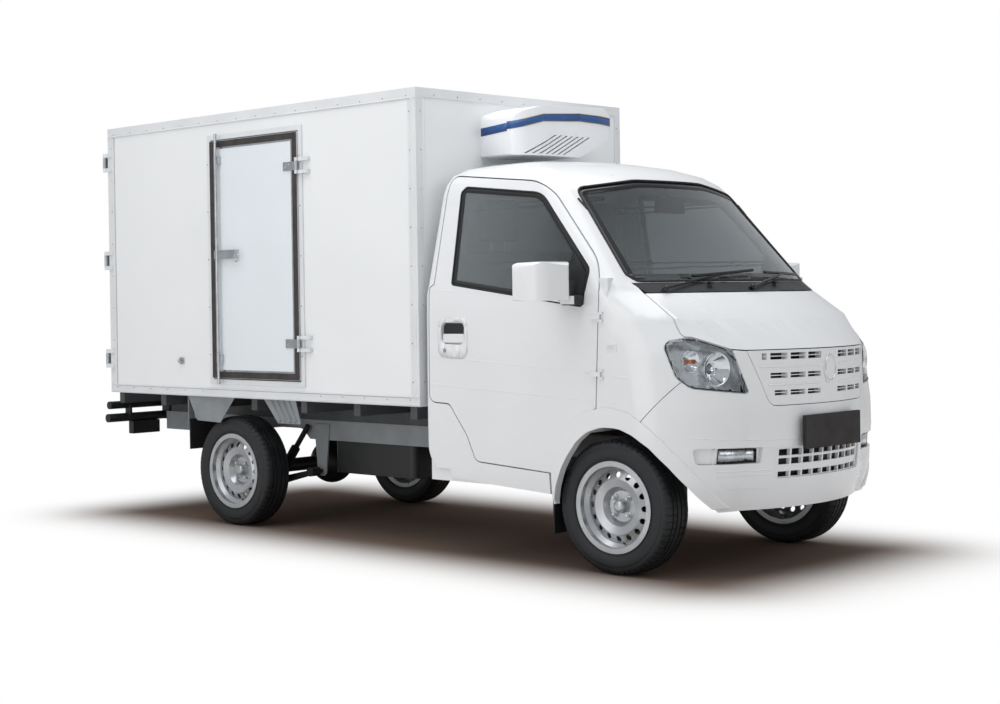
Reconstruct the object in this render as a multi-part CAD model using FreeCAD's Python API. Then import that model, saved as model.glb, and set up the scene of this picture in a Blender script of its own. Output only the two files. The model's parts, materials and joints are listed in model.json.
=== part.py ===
import FreeCAD, Part
import math
import os

from FreeCAD import Vector

os.makedirs("parts", exist_ok=True)

# Light refrigerated truck. Millimetres; X forward, Y to the truck's left, Z up, the
# floor at Z 0. Lengths along X are written from the front axle, and save() moves every
# piece so that the origin lies on the floor under the middle of the truck.

# Driving dimensions
wheelbase = 2500.0
track = 1270.0
tyre_radius = 287.0
tyre_width = 165.0
rim_radius = 178.0
rim_flange = 195.5
rim_width = 140.0
front_overhang = 625.0
cab_half_width = 765.0
cab_rear = -1038.0
cab_gap = 30.0
skin = 30.0
door_thickness = 55.0
frame_half = 400.0
frame_top = 552.0
frame_height = 102.0
box_length = 2432.0
box_half_width = 765.0
box_floor_z = 676.0
box_height = 1484.0
box_wall = 60.0
rear_door_thickness = 60.0
rear_door_proud = 12.0
rear_hardware = 33.0
seam = 5.0
body_clear = 0.3
rear_corner = 36.0
belt_z = 1200.0
cowl_z = 1190.0
screen_low_z = 1232.0
floor_z = 600.0
seat_base_z = 700.0
bonnet_low_z = 948.0
rail_width = 60.0
hitch_y = 160.0
hitch_z = 40.0
hitch_hole = 6.5
front_rail_half = 345.0
rail_front = 430.0
lamp_depth = 90.0
spring_y = 485.0
bearer_count = 7
strut_top = 589.0
spindle_radius = 27.0
vent_holes = 16
door_length = 690.0
edge_rail = 45.0
rear_frame_depth = 56.0
side_hinge_heights = (962.0, 1848.0)
rail_proud = 4.0
rail_seat = 0.1
panel_gap = 0.5
fridge_right = -318.0
fridge_left = 408.0
fridge_depth = 268.0
wheel_y = 370.0
column_tilt = 40.0
steering_ring = 185.0
flare_proud = 9.0
handle_depth = 18.0
mouth_reach = 304.0
mouth_slots = 9
mouth_rib = 9.0
mouth_rows = ((417.0, 439.0), (468.0, 494.0), (505.0, 532.0))
flap_top = 548.0
upper_bar_z = 600.0
lower_bar_z = 528.0
lower_bar = 24.0
fridge_low = 1850.0
louvre_count = 7
louvre_pitch = 42.0
door_hinge_x = -12.0
door_hinge_heights = (850.0, 1090.0)

# What follows from them
axle_z = tyre_radius
rear_axle_x = -wheelbase
half_track = track / 2
box_front = cab_rear - cab_gap
box_rear = box_front - box_length
box_top = box_floor_z + box_height
rear_end = box_rear - rear_door_proud - rear_hardware
front_axle_x = (-rear_end - front_overhang) / 2
cab_side = cab_half_width + 40.0
frame_end = rear_end + 100.0
bearer_z = frame_top
spring_front_x = rear_axle_x + 385.0
spring_rear_x = rear_axle_x - 460.0
rear_hub_y = half_track - 62.0
ball_y = half_track - 45.0
ball_z = axle_z - 87.0
mount_y = half_track - 125.0
hub_bore = spindle_radius + 0.05
door_front_x = box_front - 815.0
door_low = box_floor_z + 95.0
door_high = box_top - 135.0
rear_hinge_x = box_rear - 22.0
rear_hinge_y = box_half_width + 7.0
rear_hinge_heights = (box_floor_z + 190.0, box_top - 190.0, 1418.0)
front_flap_x = -318.0 + body_clear
door_hinge_y = cab_half_width + 4.5


# ---- small shape helpers ----

def save(name, shapes):
    """Write one node, moved from the front axle's frame to the origin."""
    if isinstance(shapes, (list, tuple)):
        shape = Part.makeCompound(list(shapes)) if len(shapes) > 1 else shapes[0]
    else:
        shape = shapes
    moved = shape.copy()
    moved.translate(Vector(front_axle_x, 0, 0))
    moved.exportStep("parts/" + name + ".step")


def block(x0, x1, y0, y1, z0, z1):
    """Box between two corners."""
    return Part.makeBox(x1 - x0, y1 - y0, z1 - z0, Vector(x0, y0, z0))


def rod(start, end, radius):
    """Round bar between two points."""
    a = Vector(*start)
    b = Vector(*end)
    return Part.makeCylinder(radius, (b - a).Length, a, b - a)


def disc_y(x, y0, y1, z, radius):
    """Round bar along Y."""
    return rod((x, y0, z), (x, y1, z), radius)


def mirrored(shape):
    """The same piece on the truck's other side."""
    return shape.mirror(Vector(0, 0, 0), Vector(0, 1, 0))


def fuse(pieces):
    """One solid from overlapping pieces."""
    joined = pieces[0].multiFuse(list(pieces[1:])) if len(pieces) > 1 else pieces[0]
    return joined.removeSplitter()


def largest(shape):
    """The biggest solid of a cut."""
    return max(shape.Solids, key=lambda s: s.Volume)


def rounded(points, place):
    """Closed wire through (u, v) or (u, v, radius) corners; place turns u, v into 3-D."""
    count = len(points)
    starts, ends, mids = [], [], []
    for i, point in enumerate(points):
        u, v = point[0], point[1]
        radius = point[2] if len(point) > 2 else 0
        before = points[i - 1]
        after = points[(i + 1) % count]
        in_u, in_v = before[0] - u, before[1] - v
        out_u, out_v = after[0] - u, after[1] - v
        in_len = math.hypot(in_u, in_v)
        out_len = math.hypot(out_u, out_v)
        if radius == 0:
            starts.append((u, v))
            ends.append((u, v))
            mids.append(None)
            continue
        cosine = (in_u * out_u + in_v * out_v) / (in_len * out_len)
        half = math.acos(max(-1, min(1, cosine))) / 2
        reach = min(radius / math.tan(half), 0.49 * in_len, 0.49 * out_len)
        radius = reach * math.tan(half)
        a = (u + in_u / in_len * reach, v + in_v / in_len * reach)
        b = (u + out_u / out_len * reach, v + out_v / out_len * reach)
        mid_u, mid_v = (a[0] + b[0]) / 2 - u, (a[1] + b[1]) / 2 - v
        mid_len = math.hypot(mid_u, mid_v)
        near = radius / math.sin(half) - radius
        mids.append((u + mid_u / mid_len * near, v + mid_v / mid_len * near))
        starts.append(a)
        ends.append(b)
    edges = []
    for i in range(count):
        if mids[i] is not None:
            edges.append(Part.Arc(place(*starts[i]), place(*mids[i]), place(*ends[i])).toShape())
        following = starts[(i + 1) % count]
        if math.hypot(following[0] - ends[i][0], following[1] - ends[i][1]) > 0.01:
            edges.append(Part.LineSegment(place(*ends[i]), place(*following)).toShape())
    return Part.Wire(edges)


def side_prism(points, y0, y1):
    """Side-view outline (x, z) pushed along Y."""
    face = Part.Face(rounded(points, lambda x, z: Vector(x, y0, z)))
    return face.extrude(Vector(0, y1 - y0, 0))


def front_prism(points, x0, x1):
    """Front-view outline (y, z) pushed along X."""
    face = Part.Face(rounded(points, lambda y, z: Vector(x0, y, z)))
    return face.extrude(Vector(x1 - x0, 0, 0))


def plan_prism(points, z0, z1):
    """Plan outline (x, y) pushed along Z."""
    face = Part.Face(rounded(points, lambda x, y: Vector(x, y, z0)))
    return face.extrude(Vector(0, 0, z1 - z0))


def grown(points, gap):
    """Outline moved outwards by gap, its corners kept."""
    area = 0
    for i, p in enumerate(points):
        q = points[(i + 1) % len(points)]
        area += p[0] * q[1] - q[0] * p[1]
    turn = 1 if area > 0 else -1
    moved = []
    for i, p in enumerate(points):
        before = points[i - 1]
        after = points[(i + 1) % len(points)]
        a = (p[0] - before[0], p[1] - before[1])
        b = (after[0] - p[0], after[1] - p[1])
        a_len, b_len = math.hypot(*a), math.hypot(*b)
        na = (a[1] / a_len * turn, -a[0] / a_len * turn)
        nb = (b[1] / b_len * turn, -b[0] / b_len * turn)
        spread = 1 + na[0] * nb[0] + na[1] * nb[1]
        u = p[0] + gap * (na[0] + nb[0]) / spread
        v = p[1] + gap * (na[1] + nb[1]) / spread
        radius = max(p[2] + gap, 1) if len(p) > 2 and p[2] > 0 else 0
        moved.append((u, v, radius))
    return moved


# ---- the cab's outer form ----

# Level sections: height, nose_x on the centre line, end of the nose arc (x, distance in
# from the widest side), middle of the corner arc (x, in), start of the flat side (x, in),
# rear_x forward of cab_rear
cab_sections = (
    (285.0, 560.0, 455.0, 315.0, 365.0, 112.0, 130.0, 14.0, 0.0),
    (400.0, 590.0, 488.0, 315.0, 388.0, 100.0, 125.0, 3.0, 0.0),
    (590.0, 607.0, 503.0, 315.0, 400.0, 96.0, 120.0, 0.0, 0.0),
    (700.0, 604.0, 500.0, 300.0, 398.0, 96.0, 115.0, 0.0, 0.0),
    (945.0, 612.0, 470.0, 265.0, 378.0, 112.0, 110.0, 2.0, 0.0),
    (1080.0, 492.0, 300.0, 125.0, 205.0, 48.0, 70.0, 3.0, 0.0),
    (1190.0, 335.0, 134.0, 122.0, 66.0, 50.0, -12.0, 6.0, 0.0),
    (1232.0, 262.0, 72.0, 106.0, 18.0, 40.0, -60.0, 13.0, 4.0),
    (1651.0, -150.0, -278.0, 180.0, -318.0, 124.0, -385.0, 93.0, 32.0),
    (1700.0, -200.0, -328.0, 196.0, -368.0, 140.0, -430.0, 111.0, 38.0),
    (1742.0, -268.0, -398.0, 226.0, -438.0, 168.0, -500.0, 140.0, 54.0),
    (1774.0, -370.0, -490.0, 290.0, -530.0, 232.0, -590.0, 205.0, 84.0),
    (1797.0, -500.0, -590.0, 400.0, -622.0, 352.0, -670.0, 330.0, 140.0),
    (1808.0, -660.0, -700.0, 590.0, -715.0, 560.0, -740.0, 545.0, 260.0),
)
first_roof_section = 9


def circle_centre(p, q, r):
    """Centre of the circle through three plan points."""
    d = 2 * (p[0] * (q[1] - r[1]) + q[0] * (r[1] - p[1]) + r[0] * (p[1] - q[1]))
    pp, qq, rr = (s[0] ** 2 + s[1] ** 2 for s in (p, q, r))
    x = (pp * (q[1] - r[1]) + qq * (r[1] - p[1]) + rr * (p[1] - q[1])) / d
    y = (pp * (r[0] - q[0]) + qq * (p[0] - r[0]) + rr * (q[0] - p[0])) / d
    return x, y


def towards(point, centre, inset):
    """The point moved by inset towards a circle's centre."""
    dx, dy = centre[0] - point[0], centre[1] - point[1]
    length = math.hypot(dx, dy)
    return point[0] + dx / length * inset, point[1] + dy / length * inset


def cab_section(row, z, inset, rear_shift):
    """Closed level wire of the cab, inset all round, its rear moved by rear_shift."""
    nose_x, bow_x, bow_in, turn_x, turn_in, side_x, side_in, rear_in = row[1:]
    half = cab_half_width
    nose, bow = (nose_x, 0.0), (bow_x, half - bow_in)
    turn, side = (turn_x, half - turn_in), (side_x, half - side_in)
    front_centre = circle_centre((bow[0], -bow[1]), nose, bow)
    corner_centre = circle_centre(bow, turn, side)
    nose = (nose[0] - inset, 0.0)
    a = towards(bow, front_centre, inset)
    b = towards(bow, corner_centre, inset)
    bow = ((a[0] + b[0]) / 2, (a[1] + b[1]) / 2)
    turn = towards(turn, corner_centre, inset)
    side = (side[0], side[1] - inset)
    rear = cab_rear + rear_in + inset + rear_shift
    r = max(rear_corner - inset, 6.0)
    k = r * (1 - math.sqrt(0.5))

    def at(x, y):
        return Vector(x, y, z)

    edges = [
        Part.LineSegment(at(rear, side[1] - r), at(rear, r - side[1])),
        Part.Arc(at(rear, r - side[1]), at(rear + k, k - side[1]), at(rear + r, -side[1])),
        Part.LineSegment(at(rear + r, -side[1]), at(side[0], -side[1])),
        Part.Arc(at(side[0], -side[1]), at(turn[0], -turn[1]), at(bow[0], -bow[1])),
        Part.Arc(at(bow[0], -bow[1]), at(*nose), at(bow[0], bow[1])),
        Part.Arc(at(bow[0], bow[1]), at(turn[0], turn[1]), at(side[0], side[1])),
        Part.LineSegment(at(side[0], side[1]), at(rear + r, side[1])),
        Part.Arc(at(rear + r, side[1]), at(rear + k, side[1] - k), at(rear, side[1] - r)),
    ]
    return Part.Wire([edge.toShape() for edge in edges])


def cab_form(inset, rear_shift=0.0):
    """The cab as one solid form, every face moved in by inset."""
    wires = []
    rows = cab_sections if inset == 0 else cab_sections[:-1]
    if inset > 0:
        wires.append(cab_section(rows[0], rows[0][0] - 60, inset, rear_shift))
    for i, row in enumerate(rows):
        z = row[0]
        if i >= first_roof_section:
            z -= inset * min(1.0, 0.35 + 0.25 * (i - first_roof_section))
        wires.append(cab_section(row, z, inset, rear_shift))
    return Part.makeLoft(wires, True, True)


# ---- outlines that split the cab into its panels, side view (x, z, corner radius) ----

arch_outline = (
    (-279.0, 150.0), (-276.0, 300.0, 90.0), (-262.0, 360.0, 90.0), (-228.0, 442.0, 90.0),
    (-196.0, 494.0, 90.0), (-143.0, 560.0, 90.0), (-86.0, 603.0, 110.0), (-8.0, 628.0, 150.0),
    (80.0, 626.0, 150.0), (157.0, 600.0, 110.0), (232.0, 552.0, 110.0), (306.0, 476.0, 110.0),
    (370.0, 393.0, 120.0), (422.0, 300.0, 120.0), (462.0, 150.0),
)
# outer edge of the flare round the arch
flare_outline = (
    (-287.0, 150.0), (-283.0, 419.0, 60.0), (-251.0, 535.0, 120.0), (-176.0, 646.0, 130.0),
    (-85.0, 694.0, 150.0), (22.0, 713.0, 200.0), (125.0, 694.0, 150.0), (209.0, 649.0, 130.0),
    (283.0, 584.0, 130.0), (371.0, 480.0, 130.0), (434.0, 364.0, 130.0), (468.0, 250.0, 60.0),
    (480.0, 150.0),
)
door_outline = (
    (-1003.0, 704.0, 40.0), (-1002.0, 1226.0, 10.0), (-977.0, 1242.0, 10.0),
    (-955.0, 1741.0, 30.0), (-372.0, 1681.0, 285.0), (-17.0, 1277.0, 300.0),
    (-40.0, 706.0, 6.0), (-118.0, 676.0, 110.0), (-202.0, 602.0, 130.0),
    (-262.0, 498.0, 110.0), (-284.0, 420.0, 12.0),
    (-722.0, 446.0, 40.0), (-774.0, 560.0, 60.0), (-880.0, 700.0, 40.0),
)
window_outline = (
    (-872.0, 1236.0, 18.0), (-877.0, 1690.0, 35.0), (-386.0, 1637.0, 136.0),
    (-76.5, 1290.0, 60.0), (-103.0, 1130.0, 25.0),
)


def nose_prism():
    """Everything ahead of the door seam and below the windscreen."""
    return block(-300.0, front_overhang, -cab_side, cab_side, 0.0, screen_low_z - 2.0)


# front view (y, z, radius)
bonnet_outline = (
    (-452.0, bonnet_low_z, 0.0), (-506.0, 953.0, 30.0), (-655.0, 1008.0, 20.0),
    (-645.0, cowl_z + 30.0), (645.0, cowl_z + 30.0),
    (655.0, 1008.0, 20.0), (506.0, 953.0, 30.0), (452.0, bonnet_low_z, 0.0),
)
grille_outline = (
    (-352.0, 716.0, 45.0), (-449.0, bonnet_low_z - 4.0, 8.0),
    (449.0, bonnet_low_z - 4.0, 8.0), (352.0, 716.0, 45.0),
)
screen_outline = (
    (-662.0, screen_low_z, 40.0), (-583.0, 1653.0, 55.0), (-250.0, 1694.0, 500.0),
    (250.0, 1694.0, 500.0), (583.0, 1653.0, 55.0), (662.0, screen_low_z, 40.0),
)
cowl_outline = (
    (-655.0, screen_low_z - 3.0), (-640.0, cowl_z, 12.0), (640.0, cowl_z, 12.0),
    (655.0, screen_low_z - 3.0),
)
rear_window_outline = (
    (-520.0, 1300.0, 60.0), (-500.0, 1620.0, 60.0), (500.0, 1620.0, 60.0), (520.0, 1300.0, 60.0),
)
mouth_outline = (
    (-322.0, 412.0, 22.0), (-338.0, 540.0, 18.0), (338.0, 540.0, 18.0), (322.0, 412.0, 22.0),
)
fog_outline = (
    (-668.0, 486.0, 14.0), (-680.0, 552.0, 14.0), (-386.0, 548.0, 10.0), (-392.0, 480.0, 10.0),
)
handle_outline = (
    (-927.0, 971.0, 30.0), (-927.0, 1066.0, 30.0), (-785.0, 1074.0, 34.0), (-785.0, 965.0, 34.0),
)
# headlamp seen square on to its corner: (distance along the diagonal, z, radius)
lamp_outline = (
    (-318.0, 985.0, 32.0), (-204.0, 1003.0, 60.0), (-28.0, 946.0, 18.0),
    (42.0, 768.0, 10.0), (-210.0, 797.0, 60.0), (-268.0, 842.0, 50.0),
)


def lamp_prism(gap, side):
    """Headlamp outline pushed along the corner's diagonal; side is -1 right, 1 left."""
    h = math.sqrt(0.5)
    depth = 330.0

    def at(t, z):
        return Vector(h * (t + depth), side * h * (depth - t), z)

    outline = [(t, z, r) for t, z, r in grown(lamp_outline, gap)]
    face = Part.Face(rounded(outline, at))
    return face.extrude(Vector(h * 700.0, side * h * 700.0, 0))


# ---- cab panels ----

def build_cab():
    """Body shell, doors, glass, bonnet, fenders, bumper, grille, lamps and cowl."""
    outer = cab_form(0)
    thin = outer.cut(cab_form(skin))
    deep = outer.cut(cab_form(door_thickness, -150.0))
    glass_band = cab_form(4.0).cut(cab_form(9.0))
    arch = side_prism(arch_outline, -cab_side, cab_side)
    door_right = side_prism(door_outline, -cab_side, -560.0)
    door_hole = side_prism(grown(door_outline, seam + body_clear), -cab_side, -560.0)
    window = side_prism(window_outline, -cab_side, -520.0)
    glass_cut = side_prism(grown(window_outline, -1.0), -cab_side, -520.0)
    nose = nose_prism()
    lamps_hole = lamp_prism(3.0, -1).fuse(lamp_prism(3.0, 1))
    bonnet_cut = front_prism(bonnet_outline, 100.0, front_overhang + 50)
    bonnet_cut = bonnet_cut.common(block(60.0, front_overhang + 50, -700, 700, 900.0, cowl_z - seam))
    bonnet_hole = front_prism(grown(bonnet_outline, seam), 80.0, front_overhang + 50)
    screen_cut = front_prism(grown(screen_outline, -1.0), -560.0, 400.0)
    screen_hole = front_prism(screen_outline, -560.0, 400.0)
    grille_cut = front_prism(grille_outline, 380.0, front_overhang + 50)
    grille_hole = front_prism(grown(grille_outline, 3.0), 380.0, front_overhang + 50)
    cowl_cut = front_prism(cowl_outline, -60.0, 420.0)
    cowl_hole = front_prism(grown(cowl_outline, 2.0), -60.0, 420.0)
    lamp_right = lamp_prism(0.0, -1)

    # doors: deep below the belt, a thinner frame round the glass above it
    step_z = belt_z - 80.0
    upper = door_right.common(block(-1100, 100, -cab_side, -500, step_z, 1900)).cut(window)
    upper = outer.cut(cab_form(skin, -150.0)).common(upper)
    lower = deep.common(door_right).common(block(-1100, 100, -cab_side, -500, 300, step_z))
    door = upper.fuse(lower.cut(arch).cut(side_prism(flare_outline, -cab_side, -400.0)))
    pocket = outer.cut(cab_form(handle_depth)).common(side_prism(handle_outline, -cab_side, -500.0))
    door_leaves, post_leaves = door_hinges()
    door = largest(fuse([door.cut(pocket)] + door_leaves))
    glass = largest(glass_band.common(glass_cut))

    # body shell
    shell = thin.cut(nose).cut(door_hole).cut(mirrored(door_hole)).cut(screen_hole).cut(cowl_hole)
    rear_hole = front_prism(rear_window_outline, cab_rear - 30, cab_rear + 120)
    under = block(-1100, -880, -cab_side, cab_side, 0, 400)
    sill = side_prism(((-998.0, 437.0, 90.0), (-1037.0, 524.0, 60.0), (-1100.0, 560.0),
                       (-1100.0, 100.0), (-200.0, 100.0), (-200.0, 322.0), (-283.0, 325.0, 10.0),
                       (-866.0, 359.0, 60.0), (-946.0, 386.0, 90.0)), -cab_side, cab_side)
    shell = shell.cut(rear_hole).cut(under).cut(sill)
    half = cab_half_width
    shell = shell.cut(block(cab_rear - 20, -250.0, 60 - half, half - 60, 0, floor_z))
    nose_skin = outer.cut(cab_form(skin + 0.5)).common(nose)
    shelf = block(0.0, 300.0, -600.0, 600.0, cowl_z - 20, cowl_z - body_clear)
    shelf = shelf.common(cab_form(skin + body_clear))
    body = fuse([shell, shelf, fuse(cab_floor_pieces(half)).cut(nose_skin)])
    body = body.cut(door_hole).cut(mirrored(door_hole)).cut(screen_hole)
    body = largest(body.cut(side_prism(grown(arch_outline, 2.0), -cab_side, -385.0)).cut(
        side_prism(grown(arch_outline, 2.0), 385.0, cab_side)))

    # nose panels
    front = thin.common(nose).cut(cowl_hole)
    bumper_side = side_prism(((362.0, 836.0), (165.0, 628.0), (165.0, 100.0), (700.0, 100.0),
                              (700.0, bonnet_low_z - 1), (362.0, bonnet_low_z - 1)),
                             -cab_side, cab_side)
    bumper_keep = side_prism(((359.0, 838.0), (161.0, 629.0), (161.0, 100.0),
                              (720.0, 100.0), (720.0, bonnet_low_z + 2.0),
                              (359.0, bonnet_low_z + 2.0)), -cab_side, cab_side)
    fender_zone = front.cut(bumper_keep)
    fender_zone = fender_zone.cut(bonnet_hole).cut(lamps_hole).cut(arch).cut(door_hole)
    fender_zone = fender_zone.cut(block(-400, 700, -600, 600, 0, 1300))
    fender_zone = fender_zone.cut(block(-400, -285, -cab_side, cab_side, 0, 1300))
    fender_right = fender_zone.common(block(-400, 700, -cab_side, -400, 0, 1300))
    fender_right = largest(fuse([largest(fender_right)] + post_leaves))
    bumper = front.common(bumper_side).cut(grille_hole).cut(lamps_hole).cut(arch)
    bumper = bumper.cut(bonnet_hole)
    bumper = largest(bumper.cut(bumper_openings()))
    cowl_row = next(row for row in cab_sections if row[0] == cowl_z)
    behind_cowl = Part.Face(cab_section(cowl_row, cowl_z + seam, -seam, 0.0)).extrude(
        Vector(0, 0, -250.0))
    bonnet = largest(thin.common(bonnet_cut).cut(behind_cowl).cut(lamp_prism(seam, -1)).cut(
        lamp_prism(seam, 1)))
    grille = grille_panel(thin.common(grille_cut))
    lamp = outer.cut(cab_form(lamp_depth)).common(lamp_right)
    lamp = largest(lamp.cut(arch))
    screen = largest(glass_band.common(screen_cut))
    rear_glass = largest(glass_band.common(front_prism(grown(rear_window_outline, -1.0),
                                                       cab_rear - 30, cab_rear + 120)))
    cowl = largest(thin.common(cowl_cut).common(block(-60, 420, -700, 700, 1150, screen_low_z - 2)))
    save("cab_body", body)
    save("cab_door_right", door)
    save("cab_door_left", mirrored(door))
    save("door_glass_right", glass)
    save("door_glass_left", mirrored(glass))
    save("fixed_glass", [screen, rear_glass])
    save("fenders", [fender_right, mirrored(fender_right)])
    save("front_bumper", bumper)
    save("bonnet", bonnet)
    save("front_grille", grille)
    save("headlamps", [lamp, mirrored(lamp)])
    save("cowl_panel", cowl)
    save("front_panel", front_panel())
    flare = arch_flare(arch)
    save("arch_flares", [flare, mirrored(flare)])
    save("lower_grille", lower_grille())
    save("fog_lamps", fog_lamps())
    save("wipers", wipers())


def arch_flare(arch):
    """Raised white band round the right wheel arch, lying on fender and bumper."""
    band = cab_form(-flare_proud).cut(cab_form(-body_clear))
    ring = side_prism(flare_outline, -cab_side, -380.0).cut(arch)
    return largest(band.common(ring).common(block(-400, 700, -cab_side, -380, 300, 900)))


def door_hinges():
    """Right door's hinge leaves: those on the door, then those on the fender."""
    x, y = door_hinge_x, -door_hinge_y
    door_leaves, post_leaves = [], []
    for z in door_hinge_heights:
        low, high = z - 10.0, z + 10.0
        door_leaves += [rod((x, y, low), (x, y, high), 5.0),
                        block(x - 48, x, y - 3, y + 3.5, low, high),
                        block(x - 48, x - 21, y - 3, y + 12, low, high)]
        for away in (-1, 1):
            low, high = sorted((z + away * (10 + body_clear), z + away * 22))
            post_leaves += [rod((x, y, low), (x, y, high), 5.0),
                            block(x, x + 16, y - 3, y + 12, low, high)]
    return door_leaves, post_leaves


def front_panel():
    """Curved carrier behind the nose that holds bumper, grille, lamps and bonnet lock."""
    band = cab_form(skin + body_clear).cut(cab_form(skin + 60.0))
    zones = [block(250.0, 700.0, -640.0, 640.0, bonnet_low_z - 36, bonnet_low_z - body_clear),
             block(250.0, 700.0, -640.0, 640.0, 690.0, 730.0)]
    for side in (-1, 1):
        zones.append(block(250.0, 700.0, *sorted((side * 430, side * 465)), 440.0, 725.0))
        zones.append(block(250.0, 700.0, *sorted((side * 345, side * 385)), 700.0, bonnet_low_z - 10))
    pieces = [band.common(zone) for zone in zones]
    for side in (-1, 1):
        plate_y = sorted((side * (front_rail_half - 45), side * 455))
        pieces.append(block(rail_front + body_clear, rail_front + 25, *plate_y, 440.0, 560.0))
    panel = fuse(pieces)
    for side in (-1, 1):
        panel = panel.cut(lamp_prism(body_clear, side).cut(cab_form(lamp_depth + body_clear)))
    return largest(panel)


def cab_floor_pieces(half):
    """Floor, firewall, engine cover and hinge pillars inside the shell."""
    inner = half - 12.0
    base = half - 160.0
    pieces = [
        block(cab_rear + 10, 20.0, -inner, inner, floor_z, floor_z + 20).cut(
            block(-975.0, -555.0, -215.0, 215.0, floor_z - 5, floor_z + 30)),
        block(0.0, 20.0, -inner, inner, floor_z, cowl_z),
        block(-560.0, -540.0, -base, base, floor_z, seat_base_z),
        block(cab_rear + 10, -540.0, -base, -base + 20, floor_z, seat_base_z),
        block(cab_rear + 10, -540.0, base - 20, base, floor_z, seat_base_z),
        block(cab_rear + 10, -540.0, -base, base, seat_base_z - 20, seat_base_z),
    ]
    for side in (-1, 1):
        sill_y = sorted((side * inner, side * (inner - 45)))
        pillar_y = sorted((side * (inner - 6), side * (inner - 50)))
        close_y = sorted((side * (inner - 150), side * inner))
        pieces.append(block(cab_rear + 30, -318.0, sill_y[0], sill_y[1], 345.0, floor_z + 20))
        pieces.append(block(-30.0, 20.0, pillar_y[0], pillar_y[1], floor_z, screen_low_z + 20))
        pieces.append(block(-336.0, -318.0, close_y[0], close_y[1], 345.0, floor_z + 10))
    return pieces


def bumper_openings():
    """Lower grille mouth and fog-lamp pockets, cut through the bumper."""
    mouth = front_prism(mouth_outline, 400.0, front_overhang + 50)
    fog = front_prism(fog_outline, 300.0, front_overhang + 50)
    return mouth.fuse(fog).fuse(mirrored(fog))


def lower_grille():
    """Ribbed insert that fills the bumper's mouth, in three rows of slots."""
    band = cab_form(9.0).cut(cab_form(24.0))
    panel = band.common(front_prism(grown(mouth_outline, -panel_gap), 400.0, front_overhang + 50))
    slots = []
    pitch = 2 * mouth_reach / mouth_slots
    for low, high in mouth_rows:
        for i in range(mouth_slots):
            start = -mouth_reach + i * pitch + mouth_rib / 2
            slots.append(block(400.0, front_overhang, start, start + pitch - mouth_rib, low, high))
    return largest(panel.cut(Part.makeCompound(slots)))


# points on the windscreen: wiper pivot, then the blade's inner end, middle and outer end
wiper_points = (
    ((178.0, -567.0, 1196.0), (185.0, -396.0, 1245.0), (221.0, -200.0, 1257.0), (226.0, -7.0, 1269.0)),
    ((313.0, -133.0, 1198.0), (232.0, 77.0, 1260.0), (212.0, 255.0, 1256.0), (170.0, 430.0, 1250.0)),
)


def wipers():
    """Two arms with their blades, lying just off the glass."""
    skin_form = cab_form(-body_clear)
    arms = []
    for pivot, start, middle, end in wiper_points:
        hub, a, b, c = ((x + 13.0, y, z + 12.0) for x, y, z in (pivot, start, middle, end))
        foot = (pivot[0] - 30.0, pivot[1], pivot[2] - 20.0)
        arm = fuse([rod(foot, hub, 11.0), rod(hub, b, 5.0), rod(a, b, 6.5), rod(b, c, 6.5),
                    Part.makeSphere(6.5, Vector(*b)), Part.makeSphere(11.0, Vector(*hub))])
        arms.append(largest(arm.cut(skin_form)))
    return arms


def fog_lamps():
    """Lamp units that fill the bumper's two outer pockets."""
    band = cab_form(16.0).cut(cab_form(skin - 0.5))
    pocket = front_prism(grown(fog_outline, -2 * panel_gap), 320.0, front_overhang + 50)
    lamp = largest(band.common(pocket.common(block(300, 700, -900, -350, 400, 600))))
    return [lamp, mirrored(lamp)]


def grille_panel(band):
    """Upper grille: bars left between three rows of slots, the middle boss kept whole."""
    rows = ((905.0, 932.0), (828.0, 850.0), (757.0, 778.0))
    slot_length, slot_gap = 84.0, 16.0
    panel = band
    for low, high in rows:
        reach = 398.0 - (932.0 - low) * 0.38
        count = int((reach - 70.0) / (slot_length + slot_gap)) + 1
        for i in range(count):
            start = 66.0 + i * (slot_length + slot_gap)
            stop = min(start + slot_length, reach)
            if stop - start < 20:
                continue
            slot = block(300.0, front_overhang + 50, start, stop, low, high)
            panel = panel.cut(slot).cut(mirrored(slot))
    boss = Part.makeCylinder(66.0, 29.0, Vector(583.0, 0, 862.0), Vector(1, 0, 0))
    squash = FreeCAD.Matrix()
    squash.A22 = 0.72
    boss = boss.transformGeometry(squash)
    return largest(panel.fuse(boss.common(block(500, front_overhang - 4, -200, 200, 700, 1000))))


# ---- chassis ----


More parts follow.
